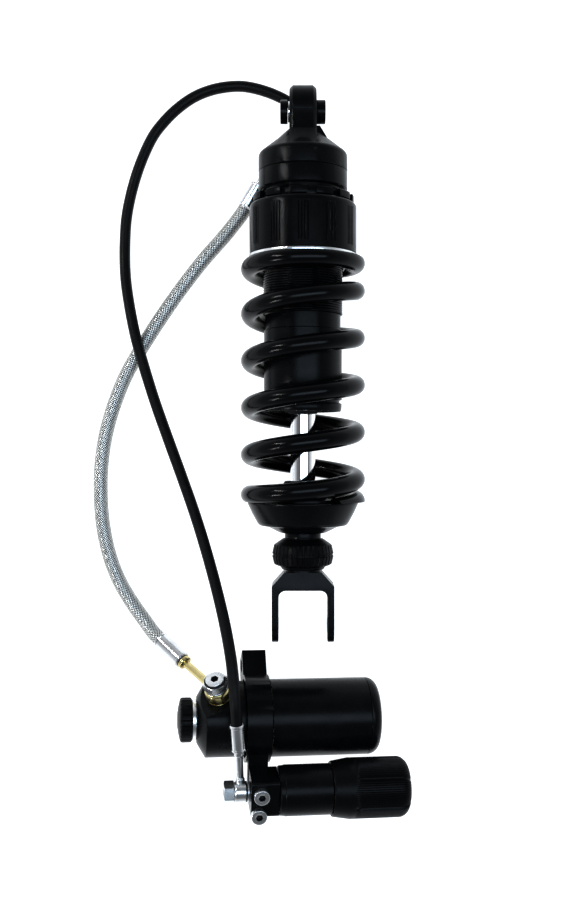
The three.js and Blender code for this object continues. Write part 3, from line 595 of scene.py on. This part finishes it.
# Upper fitting of the braided hose, behind the head.
BOSS = Matrix.Translation((-13, -25, 0))
BEHIND = BOSS @ FLIP @ TURN_Z
upper_start = Vector((-28.9, -39.5, -28.6))
upper_along = Vector(BRAIDED_ROUTE[0]) - upper_start
upper_ferrule = piece(
    "braided_ferrule_upper",
    turned(ribbed(5.7, upper_along.length - GAP), 64, aimed(upper_start, upper_along)),
    "zinc", "shock_body", "reservoir_hose_upper_ferrule", sharp=25,
)
stem_line = smoothed_curve([(-18, -29, -28.6), (-22.5, -32.2, -28.6), (-26.6, -35.6, -28.6),
                            (-28.6, -39, -28.6)], 0.8)
banjo_body = join(
    turned(eased([(0, 24.6), (8, 24.6), (8, 32.6), (0, 32.6)], 1.2), 64, BEHIND),
    swept(stem_line, 2.6, 24),
)
banjo_body = cut(banjo_body, disc(5, -BIG, BIG, BEHIND, 48))
head_banjo = piece("head_banjo_eye", banjo_body, "zinc", "shock_body", "head_banjo", edge=0.3)
for node, low in (("head_crush_washer_inner", 23.3), ("head_crush_washer_outer", 32.9)):
    piece(node + "_ring", ring(5, 7.4, low, low + 1, BEHIND, 64, 0.2), "steel", "shock_body", node)
head_bolt = join(
    hexagon(13.9, 5, BOSS @ Matrix.Translation((0, 0, -34.2)) @ FLIP, crown=0.5, socket=2.9),
    disc(4.6, -35.2, -18, BOSS @ TURN_Z, 48),
)
piece("head_banjo_bolt_hex", head_bolt, "zinc", "shock_body", "head_banjo_bolt", edge=0.2)

# Lower fitting of the braided hose, on the reservoir's valve block.
hose_end = Vector(BRAIDED_ROUTE[-1])
lower_along = (LOWER_FERRULE_END - hose_end).normalized()
lower_start = hose_end + lower_along * GAP
lower_length = (LOWER_FERRULE_END - lower_start).length - GAP
lower_ferrule = piece(
    "braided_ferrule_lower",
    turned(ribbed(5.7, lower_length), 64, aimed(lower_start, lower_along)),
    "zinc", "shock_body", "reservoir_hose_lower_ferrule", sharp=25,
)
BLOCK_FACE = 20.9
eye_low = BLOCK_FACE + GAP + 1 + GAP
eye_high = eye_low + 8
axis = (BLOCK_BANJO.to_3x3() @ Vector((0, 0, 1))).normalized()
eye_centre = BLOCK_BANJO @ Vector((0, 0, (eye_low + eye_high) / 2))
knee = LOWER_FERRULE_END + lower_along * 4
outward = knee - eye_centre
outward = (outward - axis * outward.dot(axis)).normalized()
stem_line = smoothed_curve([LOWER_FERRULE_END, knee, eye_centre + outward * 10.5,
                            eye_centre + outward * 6], 0.8)
ON_BLOCK = BLOCK_BANJO @ TURN_Z
collar = turned(eased([(0, 0), (4.6, 0), (4.6, 2.6), (3.4, 3.2), (0, 3.2)], 0.4), 48,
                aimed(LOWER_FERRULE_END, lower_along))
banjo_body = join(
    turned(eased([(0, -eye_high), (7.4, -eye_high), (8, -eye_high + 1.5), (8, -eye_low - 1.5),
                  (7.4, -eye_low), (0, -eye_low)], 0.8), 64, BLOCK_BANJO @ FLIP @ TURN_Z),
    swept(stem_line, 2.6, 24), collar,
)
banjo_body = cut(banjo_body, disc(5, -BIG, BIG, ON_BLOCK, 48))
block_banjo = piece("block_banjo_eye", banjo_body, "gold", "shock_body", "block_banjo", edge=0.25)
piece("block_washer_inner_ring", ring(5, 7.4, BLOCK_FACE + GAP, BLOCK_FACE + GAP + 1, ON_BLOCK, 64, 0.2),
      "gold", "shock_body", "block_crush_washer_inner")
piece("block_washer_outer_ring", ring(5, 7.4, eye_high + GAP, eye_high + GAP + 1, ON_BLOCK, 64, 0.2),
      "zinc", "shock_body", "block_crush_washer_outer")
bolt_level = eye_high + 2 * GAP + 1
block_bolt = join(
    hexagon(14.2, 4.9, BLOCK_BANJO @ Matrix.Translation((0, 0, bolt_level)) @ Matrix.Rotation(0.26, 4, "Z"),
            crown=1.6, socket=2.6),
    disc(4.6, BLOCK_FACE - 8, bolt_level + 1, ON_BLOCK, 48),
)
# Painted shade in the bolt's key socket.
paint_socket_shade(
    piece("block_banjo_bolt_hex", block_bolt, "zinc", "shock_body", "block_banjo_bolt", sharp=20),
    BLOCK_BANJO, 2.6, bolt_level + 6.5)

# Upper fitting of the preload hose, on the port ring behind the head.
PORT = Matrix.Translation((5.2, -46.4, 0))
PORT_BACK = PORT @ FLIP @ TURN_Z
port_start = Vector((5.2, -30.7, -32.8))
port_along = Vector(PRELOAD_ROUTE[0]) - port_start
port_ferrule = piece(
    "preload_ferrule_upper",
    turned(ribbed(4.6, port_along.length - GAP), 64, aimed(port_start, port_along)),
    "zinc", "shock_body", "preload_hose_upper_ferrule", sharp=25,
)
banjo_body = join(
    turned(eased([(0, 29.8), (6.6, 29.8), (6.6, 35.8), (0, 35.8)], 1.0), 64, PORT_BACK),
    disc(2.3, -41.4, -31, Matrix.Translation((5.2, 0, -32.8)), 32),
)
banjo_body = cut(banjo_body, disc(3.4, -BIG, BIG, PORT_BACK, 48))
port_banjo = piece("port_banjo_eye", banjo_body, "zinc", "shock_body", "port_banjo", edge=0.25)
port_bolt = join(
    hexagon(10, 3, PORT @ Matrix.Translation((0, 0, -36.1)) @ FLIP, socket=2.0),
    disc(3, 27.3, 36.8, PORT_BACK, 32),
)
piece("port_banjo_bolt_hex", port_bolt, "zinc", "shock_body", "port_banjo_bolt", edge=0.15)

# Lower fitting of the preload hose, on the adjuster's end block.
NECK_TILT = 40
NECK_LEAN = 4
banjo_right = -38.6
banjo_left = banjo_right - 8
banjo_middle = (banjo_left + banjo_right) / 2
AT_BANJO = ADJUSTER @ Matrix.Translation((banjo_middle, 0, 0))
NECK = (
    AT_BANJO @ Matrix.Rotation(math.radians(NECK_LEAN), 4, "Z")
    @ Matrix.Rotation(math.radians(NECK_TILT), 4, "X")
)
neck_end = NECK @ Vector((0, 26.3, 0))
neck_profile = [(0, 4.6), (2.9, 4.6), (2.9, 8.5), (2.3, 9.5), (2.3, 23), (3.1, 23.6), (3.1, 26), (0, 26)]
banjo_body = join(
    turned(eased([(0, banjo_left), (6.1, banjo_left), (6.6, banjo_left + 1), (6.6, banjo_right - 1),
                  (6.1, banjo_right), (0, banjo_right)], 0.5), 64, A_AXIS),
    turned(eased(neck_profile, 0.4), 48, NECK),
)
banjo_body = cut(banjo_body, disc(3.4, -BIG, BIG, A_AXIS, 48))
adjuster_banjo = piece("adjuster_banjo_eye", banjo_body, "zinc", "shock_body", "adjuster_banjo", edge=0.25)
TO_LEFT = ADJUSTER @ Matrix.Translation((banjo_left - GAP, 0, 0)) @ Matrix.Rotation(math.radians(-90), 4, "Y")
adjuster_bolt = join(
    hexagon(12.4, 6.4, TO_LEFT, socket=2.6),
    disc(3, banjo_left - 1, -33.6, A_AXIS, 32),
)
piece("adjuster_banjo_bolt_hex", adjuster_bolt, "zinc", "shock_body", "adjuster_banjo_bolt", sharp=20)
piece("adjuster_washer_ring", ring(3.4, 6.2, banjo_right + GAP, -37.2, A_AXIS, 48, 0.2), "steel",
      "shock_body", "adjuster_crush_washer")
ferrule_along = Vector(PRELOAD_ROUTE[-1]) - neck_end
adjuster_ferrule = piece(
    "preload_ferrule_lower",
    turned(ribbed(4.6, ferrule_along.length - GAP), 64, aimed(neck_end, ferrule_along)),
    "zinc", "shock_body", "preload_hose_lower_ferrule", sharp=25,
)

# ---------------------------------------------------------------- top eye

race_arc = math.degrees(math.asin(6 / 11.3))
piece("eye_race_ring", turned(
    [(13.5, -5.6), (13.1, -6), *arc(0, 0, 11.3, -race_arc, race_arc, 16), (13.1, 6), (13.5, 5.6)],
    96, TURN_X), "steel", "shock_body", "eye_bearing_race", sharp=40)
clip = cut(
    ring(11.6, 13.5, 6.3, 7.6, TURN_X, 96, 0.15),
    box((0, -20, -2.6), (20, 0, 2.6)),
)
piece("eye_snap_ring_clip", clip, "steel", "shock_body", "eye_snap_ring", edge=0.1)
ball_arc = math.degrees(math.asin(8.3 / 11))
piece("eye_ball_polished", turned(
    [(5, -9.5), (6.3, -9.5), (6.6, -9.2), (6.6, -8.3), *arc(0, 0, 11, -ball_arc, ball_arc, 24), (5, 8.3)],
    96, TURN_X), "chrome", "eye_ball", "eye_ball", sharp=35)
piece("eye_collar_left_turned", turned(
    eased([(5, -14.4), (7.5, -14.4), (7.5, -9.8), (5, -9.8)], 0.5), 96, TURN_X),
    "turned", "eye_ball", "eye_collar_left", sharp=25)
piece("eye_collar_right_turned", turned(
    eased([(5, 8.6), (7.5, 8.6), (7.5, 14.4), (5, 14.4)], 0.5), 96, TURN_X),
    "turned", "eye_ball", "eye_collar_right", sharp=25)

# ---------------------------------------------------------------- head

CROSSWISE = Matrix.Rotation(math.radians(90), 4, "Y")  # draws (x, y) as (-z, y), thick along X
head = turned([
    (0, -9), (8.6, -10.6), (16.7, -18.3), (22.5, -22.9), *arc(24.4, -29.5, 4, 62, 5, 6),
    (28.4, -32), (28.4, -38.3), (27.9, -38.8), (0, -38.8),
], 128)
lug_top = turned(eased([(0, -8.6), (14.4, -8.6), (16.4, -6.4), (16.4, 6.4), (14.4, 8.6), (0, 8.6)], 1.2, 4),
                 128, TURN_X)
column = prism([
    (8.6, -14.2), (8.6, 14.2), (6.4, 16.2), (-6.4, 16.2),
    (-8.6, 14.2), (-8.6, -14.2), (-6.4, -16.2), (6.4, -16.2),
], -15.4, 2.3, Matrix.Rotation(math.radians(-90), 4, "X"))
foot = prism([(16.2, -14.7), (-16.2, -14.7), (-27.7, -30.4), (27.7, -30.4)], -8.6, 8.6, CROSSWISE)
boss = disc(8.5, 14, 24, BEHIND, 48)
gusset = prism([
    (6, -21), (16.2, -21), (14.7, -17.6), (13.1, -15), (8.8, -7.9), (8, -6.7), (6, -5.8),
], -8.2, 8.2)
head = join(head, lug_top, column, foot, boss, gusset)
head = cut(
    head,
    box((-BIG, -33.2, -BIG), (BIG, BIG, -23)),
    disc(13.8, -BIG, BIG, TURN_X, 96),
    disc(25.7, -BIG, -34, PLAIN, 96),
    disc(4.9, 17.7, BIG, BEHIND, 48),
)
piece("head_cap_cast", head, "cast", "shock_body", "head_cap", edge=0.5, steps=3)

piece("port_ring_turned", join(
    turned(eased([(25.7, -51), (27.4, -51), (28.4, -50), (28.4, -39.1), (25.7, -39.1)], 0.35), 128),
    box((-2.8, -50.6, -29.5), (13.2, -39.5, -26.6)),
), "turned", "shock_body", "preload_port_ring", edge=0.3, sharp=40)

# ---------------------------------------------------------------- damper body


THREAD_PITCH = 1.5
THREAD_DEPTH = 0.55


def thread(angle, y, radius):
    """The body's outside thread, on its upper part only."""
    if radius < 25 or y > -52 or y < -129.5:
        return radius
    share = (y / THREAD_PITCH + angle / TAU) % 1
    return radius - THREAD_DEPTH * abs(2 * share - 1)


rows = [-34.3, -36]
level = -52.0
while level > -55:
    rows.append(level)
    level -= 0.375
level = -100.5
while level > -130:
    rows.append(level)
    level -= 0.3
tube = [(20, -34.3)] + [(25.4, y) for y in rows]
tube += [
    (25.4, -130), (24.1, -130.5), (24.1, -139.6), (24.9, -140.2), (24.9, -150), (24.9, -165),
    (24.9, -184.2), (24.6, -184.5), (23.4, -184.7), (23.4, -186.5), (24.5, -186.7), (24.8, -187.1),
    (24.6, -190.4), (24.1, -191.7), (21.8, -191.7), (21.5, -191.2), (21.5, -183), (20, -183),
]
piece("damper_tube_threaded", turned(tube, 96, wave=thread), "anodised", "shock_body", "damper_tube",
      sharp=50)
piece("seal_head_turned", turned(eased([
    (8.3, -190.5), (21.2, -190.5), (21.2, -183.3), (19.7, -183.3), (19.7, -177), (8.3, -177)], 0.4)),
    "turned", "shock_body", "seal_head", sharp=25)
piece("wiper_lip", turned([
    (8.3, -193.2), (8.9, -193.1), (9.6, -192.2), (11.6, -192.1), (12, -191.8), (12, -190.8),
    (8.3, -190.8)], 96),
    "foam", "shock_body", "rod_wiper_seal", sharp=25)

slots = [
    prism([(28.8, -3), (BIG, -3), (BIG, 3), (28.8, 3)], -BIG, BIG,
          Matrix.Rotation(math.radians(9.5 + 30 * k), 4, "Y") @ Matrix.Rotation(math.radians(90), 4, "X"))
    for k in range(12)
]
piece("lock_ring_slotted", cut(
    turned(eased([(25.7, -59), (32.6, -59), (32.6, -54.4), (25.7, -54.4)], 0.8), 128), *slots),
    "turned", "shock_body", "lock_ring", edge=0.35)

FLUTE_TOP = -63.5
FLUTE_END = -88.0


def flutes(angle, y, radius):
    """Four flutes, then a plain land, twelve times round the housing."""
    if radius < 34.1 or y > FLUTE_TOP or y < FLUTE_END:
        return radius
    local = (math.degrees(angle) + 15) % 30 - 15
    for centre in (-4.8, -1.6, 1.6, 4.8):
        off = abs(local - centre)
        if off < 0.8:
            return radius - 0.6 * (1 - (off / 0.8) ** 2)
    return radius


housing = [
    (25.7, -91.8), (33.6, -91.8), (34.2, -91.2), (34.2, FLUTE_END - 0.01), (34.2, FLUTE_END + 0.9),
    (34.2, -80), (34.2, -72), (34.2, FLUTE_TOP - 0.9), (34.2, FLUTE_TOP + 0.01),
    (34.2, -61.5), (33.9, -60.7), (33.2, -59.9), (32.6, -59.5), (25.7, -59.5),
]
housing_body = cut(
    turned(housing, 1080, wave=flutes),
    ring(27.6, 31.6, -93, -70, PLAIN, 96, 0),
)
piece("preload_housing_fluted", housing_body, "turned", "shock_body", "preload_housing", sharp=25)

piece("upper_seat_flange", turned(eased([
    (25.8, -101), (26.9, -101), (26.9, -93.9), (34.8, -93.9), (34.8, -92.1), (25.8, -92.1)], 0.4), 128),
    "silver", "spring_seat", "upper_spring_seat", sharp=25)

# ---------------------------------------------------------------- spring


def ramp_up(x, bend):
    """Zero below zero and x above it, with a smooth bend between."""
    if x < -bend:
        return 0
    return x if x > bend else (x + bend) ** 2 / (4 * bend)


WIRE_RADIUS = 5.9
COIL_RADIUS = 33.8
SPRING_TOP = -94.3
SPRING_BOTTOM = -249.2


def coil_point(turn):
    """The wire's centre. It drops 5.5 mm a turn in the end coils and 30 mm a turn in the open ones."""
    opened = ramp_up(turn - 0.518, 0.18) - ramp_up(turn - 5.306, 0.18)
    drop = 5.5 * turn + 24.5 * opened + 16 * ramp_up(turn - 5.95, 0.1)
    angle = TAU * turn
    return Vector((COIL_RADIUS * math.cos(angle), -97.2 - drop, COIL_RADIUS * math.sin(angle)))


def coil_part(name, first, last, body):
    """A stretch of the spring's wire between two turns, ground flat at the spring's ends."""
    steps = round((last - first) * 56)
    line = [coil_point(first + (last - first) * k / steps) for k in range(steps + 1)]
    wire = swept(line, WIRE_RADIUS, 32)
    for vertex in wire.data.vertices:
        vertex.co.y = min(max(vertex.co.y, SPRING_BOTTOM), SPRING_TOP)
    return piece(name, wire, "spring", body, "spring", sharp=50)


# The wire is in two parts that meet behind the damper: the upper part has no body, the lower part rides the
# shock body.
SPLIT = 1.75
upper_coils = coil_part("spring_coil_upper", -0.15, SPLIT, None)
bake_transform(upper_coils)
lower_coils = coil_part("spring_coil_lower", SPLIT, 6.15, "shock_body")
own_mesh(lower_coils)

# ---------------------------------------------------------------- rod and lower end

piece("rod_chromed", turned(eased([
    (3, -286), (8, -286), (8, -166), (5, -166), (5, -141), (3, -141)], 0.3), 96),
    "chrome", "rod", "damper_rod", sharp=25)
piece("bump_stop_foam", turned(eased([
    (8.3, -247.2), (15, -247.2), (15, -244.4), (13.2, -243.6), (13.2, -242.9), (14.6, -242.1),
    (14.2, -240.2), (12.4, -239.3), (12.4, -238.7), (12.6, -238), (11.5, -236.2), (8.3, -236.2)], 0.5), 96),
    "foam", "rod", "bump_stop", sharp=50)
piece("lower_seat_turned", turned(eased([
    (8.3, -269), (14.6, -269), (15.6, -268.6), (22.6, -265.1), (27.9, -264.1), (29.2, -262.6), (32.5, -256.5),
    (35.2, -250.6), (35.4, -249.5), (27.2, -249.5), (27.2, -247.5), (8.3, -247.5)], 0.6), 128),
    "turned", "rod", "lower_spring_seat", sharp=22)

crotch = arc(-10.8, -309.7, 4.8, 180, 90, 10) + arc(10.8, -309.7, 4.8, 90, 0, 10)
fork_outline = [
    (-12, -293.8), (-19.7, -302.4), (-19.7, -337.6), *arc(-18.2, -337.6, 1.5, 180, 270, 4),
    *arc(-17.1, -337.6, 1.5, 270, 360, 4), *crotch, *arc(17.1, -337.6, 1.5, 180, 270, 4),
    *arc(18.2, -337.6, 1.5, 270, 360, 4), (19.7, -302.4), (12, -293.8),
]
fork_side = [(-12, -302.4), (-10.5, -292.5), (10.5, -292.5), (12, -302.4), *arc(0, -327, 12, 0, -180, 40)]
fork = meet(prism(fork_outline, -12, 12), prism(fork_side, -21, 21, CROSSWISE))
fork = join(
    fork,
    disc(11, -295.8, -269.3, PLAIN, 96),
    turned(eased([(0, -272.6), (11.5, -272.6), (11.5, -269.3), (0, -269.3)], 0.4), 96),
)
fork = cut(
    fork,
    disc(8.3, -293, BIG, PLAIN, 96),
    disc(5, -BIG, BIG, Matrix.Translation((0, -328, 0)) @ TURN_X, 64),
)
piece("clevis_milled", fork, "anodised", "rod", "clevis", edge=0.25)


def knurl(angle, y, radius):
    """Ribs along the rebound ring, apart from the groove round its middle."""
    if radius < 18 or abs(y + 283) < 0.5:
        return radius
    share = (math.degrees(angle) / 10) % 1
    rib = 1 if 0.2 < share < 0.8 else 0
    return radius - 0.5 * (1 - rib)


ring_profile = [
    (11.4, -292.5), (12.8, -292.5), (13.6, -291.9), (14.2, -290.7), (17.6, -289.4), (18.5, -288.6),
    (19.3, -285.2), (19.6, -283.9), (19.1, -283.5), (19.1, -282.5), (19.6, -282.1), (19.3, -280.8),
    (18.5, -277.1), (17.9, -276.4), (13.4, -273.3), (12.8, -272.9), (11.4, -272.9),
]
rebound = turned(ring_profile, 360, wave=knurl)
rebound = cut(rebound, disc(0.9, 18.6, BIG, Matrix.Rotation(math.radians(42), 4, "Y")
                            @ Matrix.Translation((0, -282.9, 0)) @ TURN_Z, 24))
piece("rebound_ring_ribbed", rebound, "knob", "rebound_knob", "rebound_knob", sharp=30)

# ---------------------------------------------------------------- reservoir

shell = turned(eased([(21.5, -21.7), (24.4, -21.7), (24.4, 41), (21.5, 41)], 0.15), 128, U_AXIS)
piece("reservoir_shell", shell, "anodised", "shock_body", "reservoir_tube", sharp=25)
piece("reservoir_end_cap", turned([
    (0, 33), (21.2, 33), (21.2, 41.3), (24.2, 41.3), (24.4, 41.5), *arc(17.4, 41.5, 7, 0, 90, 12),
    (7.4, 48.5), (7, 48.1), (7, 44.5), (0, 44.5)], 128, U_AXIS),
    "anodised", "shock_body", "reservoir_cap", sharp=40)
piece("gas_valve_stem", turned(eased([
    (0, 44.8), (5.5, 44.8), (5.5, 46.1), (3.8, 46.3), (3.8, 48.1), (1.6, 48.1), (1.6, 46.8), (0, 46.8)], 0.2),
    64, U_AXIS), "gold", "shock_body", "gas_fill_valve", sharp=25)

block = turned(eased([
    (0, -68.9), (14.6, -68.9), (23.7, -63.5), (23.7, -38.6), (18, -38.6), (18, -54), (0, -54)], 0.6),
    96, U_AXIS)
block = cut(
    block,
    box((-BIG, -BIG, BLOCK_FACE), (BIG, BIG, BIG), BLOCK_BANJO),
    disc(5.4, 10.9, BIG, ON_BLOCK, 48),
    disc(3, -BIG, -53, U_AXIS, 32),
)
piece("valve_block_cast", block, "cast", "shock_body", "valve_block", edge=0.5, steps=3)


def grip(angle, y, radius):
    """Narrow grooves along the compression knob."""
    if radius < 13.7:
        return radius
    share = (math.degrees(angle) / 15) % 1
    return radius - 0.55 * max(0, 1 - abs(share - 0.5) / 0.16)


piece("compression_dial", turned([
    (0, -80.9), (5, -81), (5.6, -80.8), (8, -80.5), (12.8, -79.4), (13.7, -78.8), (14, -78.1), (14, -75.6),
    (14, -73), (13.7, -72.3), (13, -71.9), (3, -71.9), (3, -77.4), (0, -77.4)], 288, U_AXIS, grip),
    "knob", "compression_knob", "compression_knob", sharp=35)
piece("dial_plate_disc", ring(3.4, 12.7, -71.6, -69.2, U_AXIS, 96, 0.3), "silver", "shock_body",
      "compression_dial_plate", sharp=25)

# ---------------------------------------------------------------- bracket and adjuster

SCREWS = [END_BLOCK @ Matrix.Translation((u, v, 0)) for u, v in ((-30.9, 4.6), (-32.2, -8.4))]
clamp_band = disc(27.5, -38.3, -22.8, U_AXIS, 128)
tab = box((-38.3, 0, -10.8), (-22.8, 43.5, 8), UNIT)
arm = box((-37.3, -11.6, -15.5), (-24.8, 19.6, -9.3), END_BLOCK)
holder = join(clamp_band, tab, arm)
holder = cut(
    holder,
    disc(24.7, -BIG, BIG, U_AXIS, 128),
    disc(4.2, -BIG, BIG, UNIT @ Matrix.Translation((0, 35.5, 0)) @ TURN_X, 48),
    *[disc(2.5, -BIG, BIG, at @ TURN_Z, 32) for at in SCREWS],
)
piece("bracket_milled", holder, "anodised", "shock_body", "bracket", edge=0.6, steps=3)

BLOCKWISE = END_BLOCK @ Matrix.Rotation(math.radians(90), 4, "Y") @ Matrix.Rotation(math.radians(90), 4, "Z")
block_outline = [(-11.6, -9), (11.6, -9), *arc(10.1, 10.5, 1.5, 0, 90, 4), *arc(-8.6, 9, 3, 90, 180, 6)]
end_block = prism(block_outline, -36.9, -19.5, BLOCKWISE)
end_block = cut(
    end_block,
    disc(7.3, -28.3, BIG, A_AXIS, 64),
    disc(3.3, -BIG, -33.3, A_AXIS, 32),
    *[disc(2.6, -BIG, BIG, at @ TURN_Z, 32) for at in SCREWS],
)
piece("end_block_milled", end_block, "anodised", "shock_body", "adjuster_end_block", edge=0.6, steps=3)

SCREW_TOP = 17
for number, at in enumerate(SCREWS, 1):
    cap = turned(eased([(0, 12.3), (4.8, 12.3), (4.8, SCREW_TOP), (0, SCREW_TOP)], 0.5), 64, at @ TURN_Z)
    shank = disc(2.2, -14.5, 13, at @ TURN_Z, 32)
    screw = cut(join(cap, shank), prism(six_corners(2.3), 13.6, BIG, at))
    node = f"clamp_screw_{number}"
    screw = piece(node + "_cap", screw, "zinc", "shock_body", node, edge=0.15)
    # Painted shade in the screw's key socket.
    paint_socket_shade(screw, at, 2.4, SCREW_TOP)

barrel = turned(eased([
    (0, -28), (7, -28), (7, -19.2), (14.4, -19.2), (15, -18.6), (15.2, -15.9), (15.5, -15.5), (15.5, 13.7),
    (12.5, 13.7), (12.5, -13), (0, -13)], 0.35), 128, A_AXIS)
piece("adjuster_barrel_turned", barrel, "anodised", "shock_body", "adjuster_barrel", sharp=25)


def knob_grip(angle, y, radius):
    """Six finger scallops round the preload knob, and fine grooves between them."""
    if y < 27 or radius < 11:
        return radius
    degrees = math.degrees(angle)
    fade = min(1, (y - 27) / 4)
    big = abs((degrees + 30) % 60 - 30)
    if big < 5.5:
        return radius - 1.5 * fade * math.cos(big / 5.5 * math.pi / 2)
    share = (degrees / 4) % 1
    return radius - 0.4 * fade * max(0, 1 - abs(share - 0.5) / 0.25)


knob_profile = [(5.5, 14), (16.5, 14), (16.8, 14.4)]
knob_profile += [(16.8 + 1.7 * k / 8, 14.4 + 10.6 * k / 8) for k in range(1, 9)]
knob_profile += [(18.5, y) for y in (27, 28, 29, 30, 31, 36, 44, 52, 56.2)]
knob_profile += arc(11.5, 56.2, 7, 10, 90, 10)
knob_profile += [(3, 63.2), (0, 63.2), (0, 58), (5.5, 58)]
piece("preload_knob_fluted", turned(knob_profile, 720, A_AXIS, knob_grip),
      "knob", "preload_knob", "preload_knob", sharp=35)

# ---------------------------------------------------------------- sealed inner pieces keep their CAD shape

INNER = {
    "floating_piston": "silver", "compression_needle": "steel", "preload_plunger": "steel",
    "preload_ring_piston": "steel", "rebound_needle": "steel", "rebound_shims": "steel",
    "piston": "silver", "piston_band": "plastic", "compression_shims": "steel", "piston_nut": "steel",
}
for node, finish in INNER.items():
    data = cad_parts[node].data
    data.materials.clear()
    data.materials.append(FINISHES[finish][0])

# ---------------------------------------------------------------- floor and lights

FLOOR = -0.0398
floor_mesh = bpy.data.meshes.new("floor")
corners = [(x, y, FLOOR) for x, y in ((-4, -4), (4, -4), (4, 4), (-4, 4))]
floor_mesh.from_pydata(corners, [], [(0, 1, 2, 3)])
floor = bpy.data.objects.new("floor", floor_mesh)
bpy.context.scene.collection.objects.link(floor)
paper = bpy.data.materials.new("paper")
paper.use_nodes = True
paper_shader = paper.node_tree.nodes["Principled BSDF"]
paper_shader.inputs["Base Color"].default_value = (0.5, 0.5, 0.5, 1)
paper_shader.inputs["Roughness"].default_value = 0.9
paper_shader.inputs["Specular IOR Level"].default_value = 0.1
paper_shader.inputs["Emission Color"].default_value = (0.97, 0.985, 1, 1)
paper_shader.inputs["Emission Strength"].default_value = 0.95
floor.data.materials.append(paper)


def lamp(name, direction, distance, size, power, colour=(1, 1, 1)):
    """A rectangular lamp. Its direction is in degrees from straight up: to the right, towards the head."""
    right, ahead = (math.radians(a) for a in direction)
    way = Vector((math.sin(right) * math.cos(ahead), math.sin(ahead), math.cos(right) * math.cos(ahead)))
    data = bpy.data.lights.new(name, "AREA")
    data.shape = "RECTANGLE"
    data.size, data.size_y = size
    data.energy = power
    data.color = colour
    made = bpy.data.objects.new(name, data)
    made.location = Vector((0, -0.21, 0)) + way * distance
    made.rotation_euler = way.to_track_quat("Z", "Y").to_euler()
    bpy.context.scene.collection.objects.link(made)


lamp("soft_key", (11, 0), 1.3, (0.5, 1.6), 12, (0.7, 0.85, 1))
lamp("strip_left_far", (-50, 24), 1.3, (0.025, 0.4), 4.2)
lamp("strip_left_near", (-50, -20), 1.3, (0.025, 0.4), 4.2)

world = bpy.data.worlds.new("studio")
world.use_nodes = True
bpy.context.scene.world = world
nodes = world.node_tree.nodes
links = world.node_tree.links
sky = nodes["Background"]
place = nodes.new("ShaderNodeTexCoord")
split = nodes.new("ShaderNodeSeparateXYZ")
links.new(place.outputs["Generated"], split.inputs["Vector"])
fade = nodes.new("ShaderNodeValToRGB")
fade.color_ramp.elements[0].position = 0.0
fade.color_ramp.elements[0].color = (0.9, 0.93, 0.96, 1)
fade.color_ramp.elements[1].position = 0.9
fade.color_ramp.elements[1].color = (0.2, 0.215, 0.23, 1)
for position, grey in ((0.12, 0.85), (0.4, 0.6), (0.6, 0.25)):
    fade.color_ramp.elements.new(position).color = (grey * 0.97, grey, grey * 1.04, 1)
links.new(split.outputs["Z"], fade.inputs["Fac"])
links.new(fade.outputs["Color"], sky.inputs["Color"])
sky.inputs["Strength"].default_value = 1.0

bpy.context.scene.view_settings.view_transform = "Standard"
bpy.context.scene.view_settings.gamma = 0.74
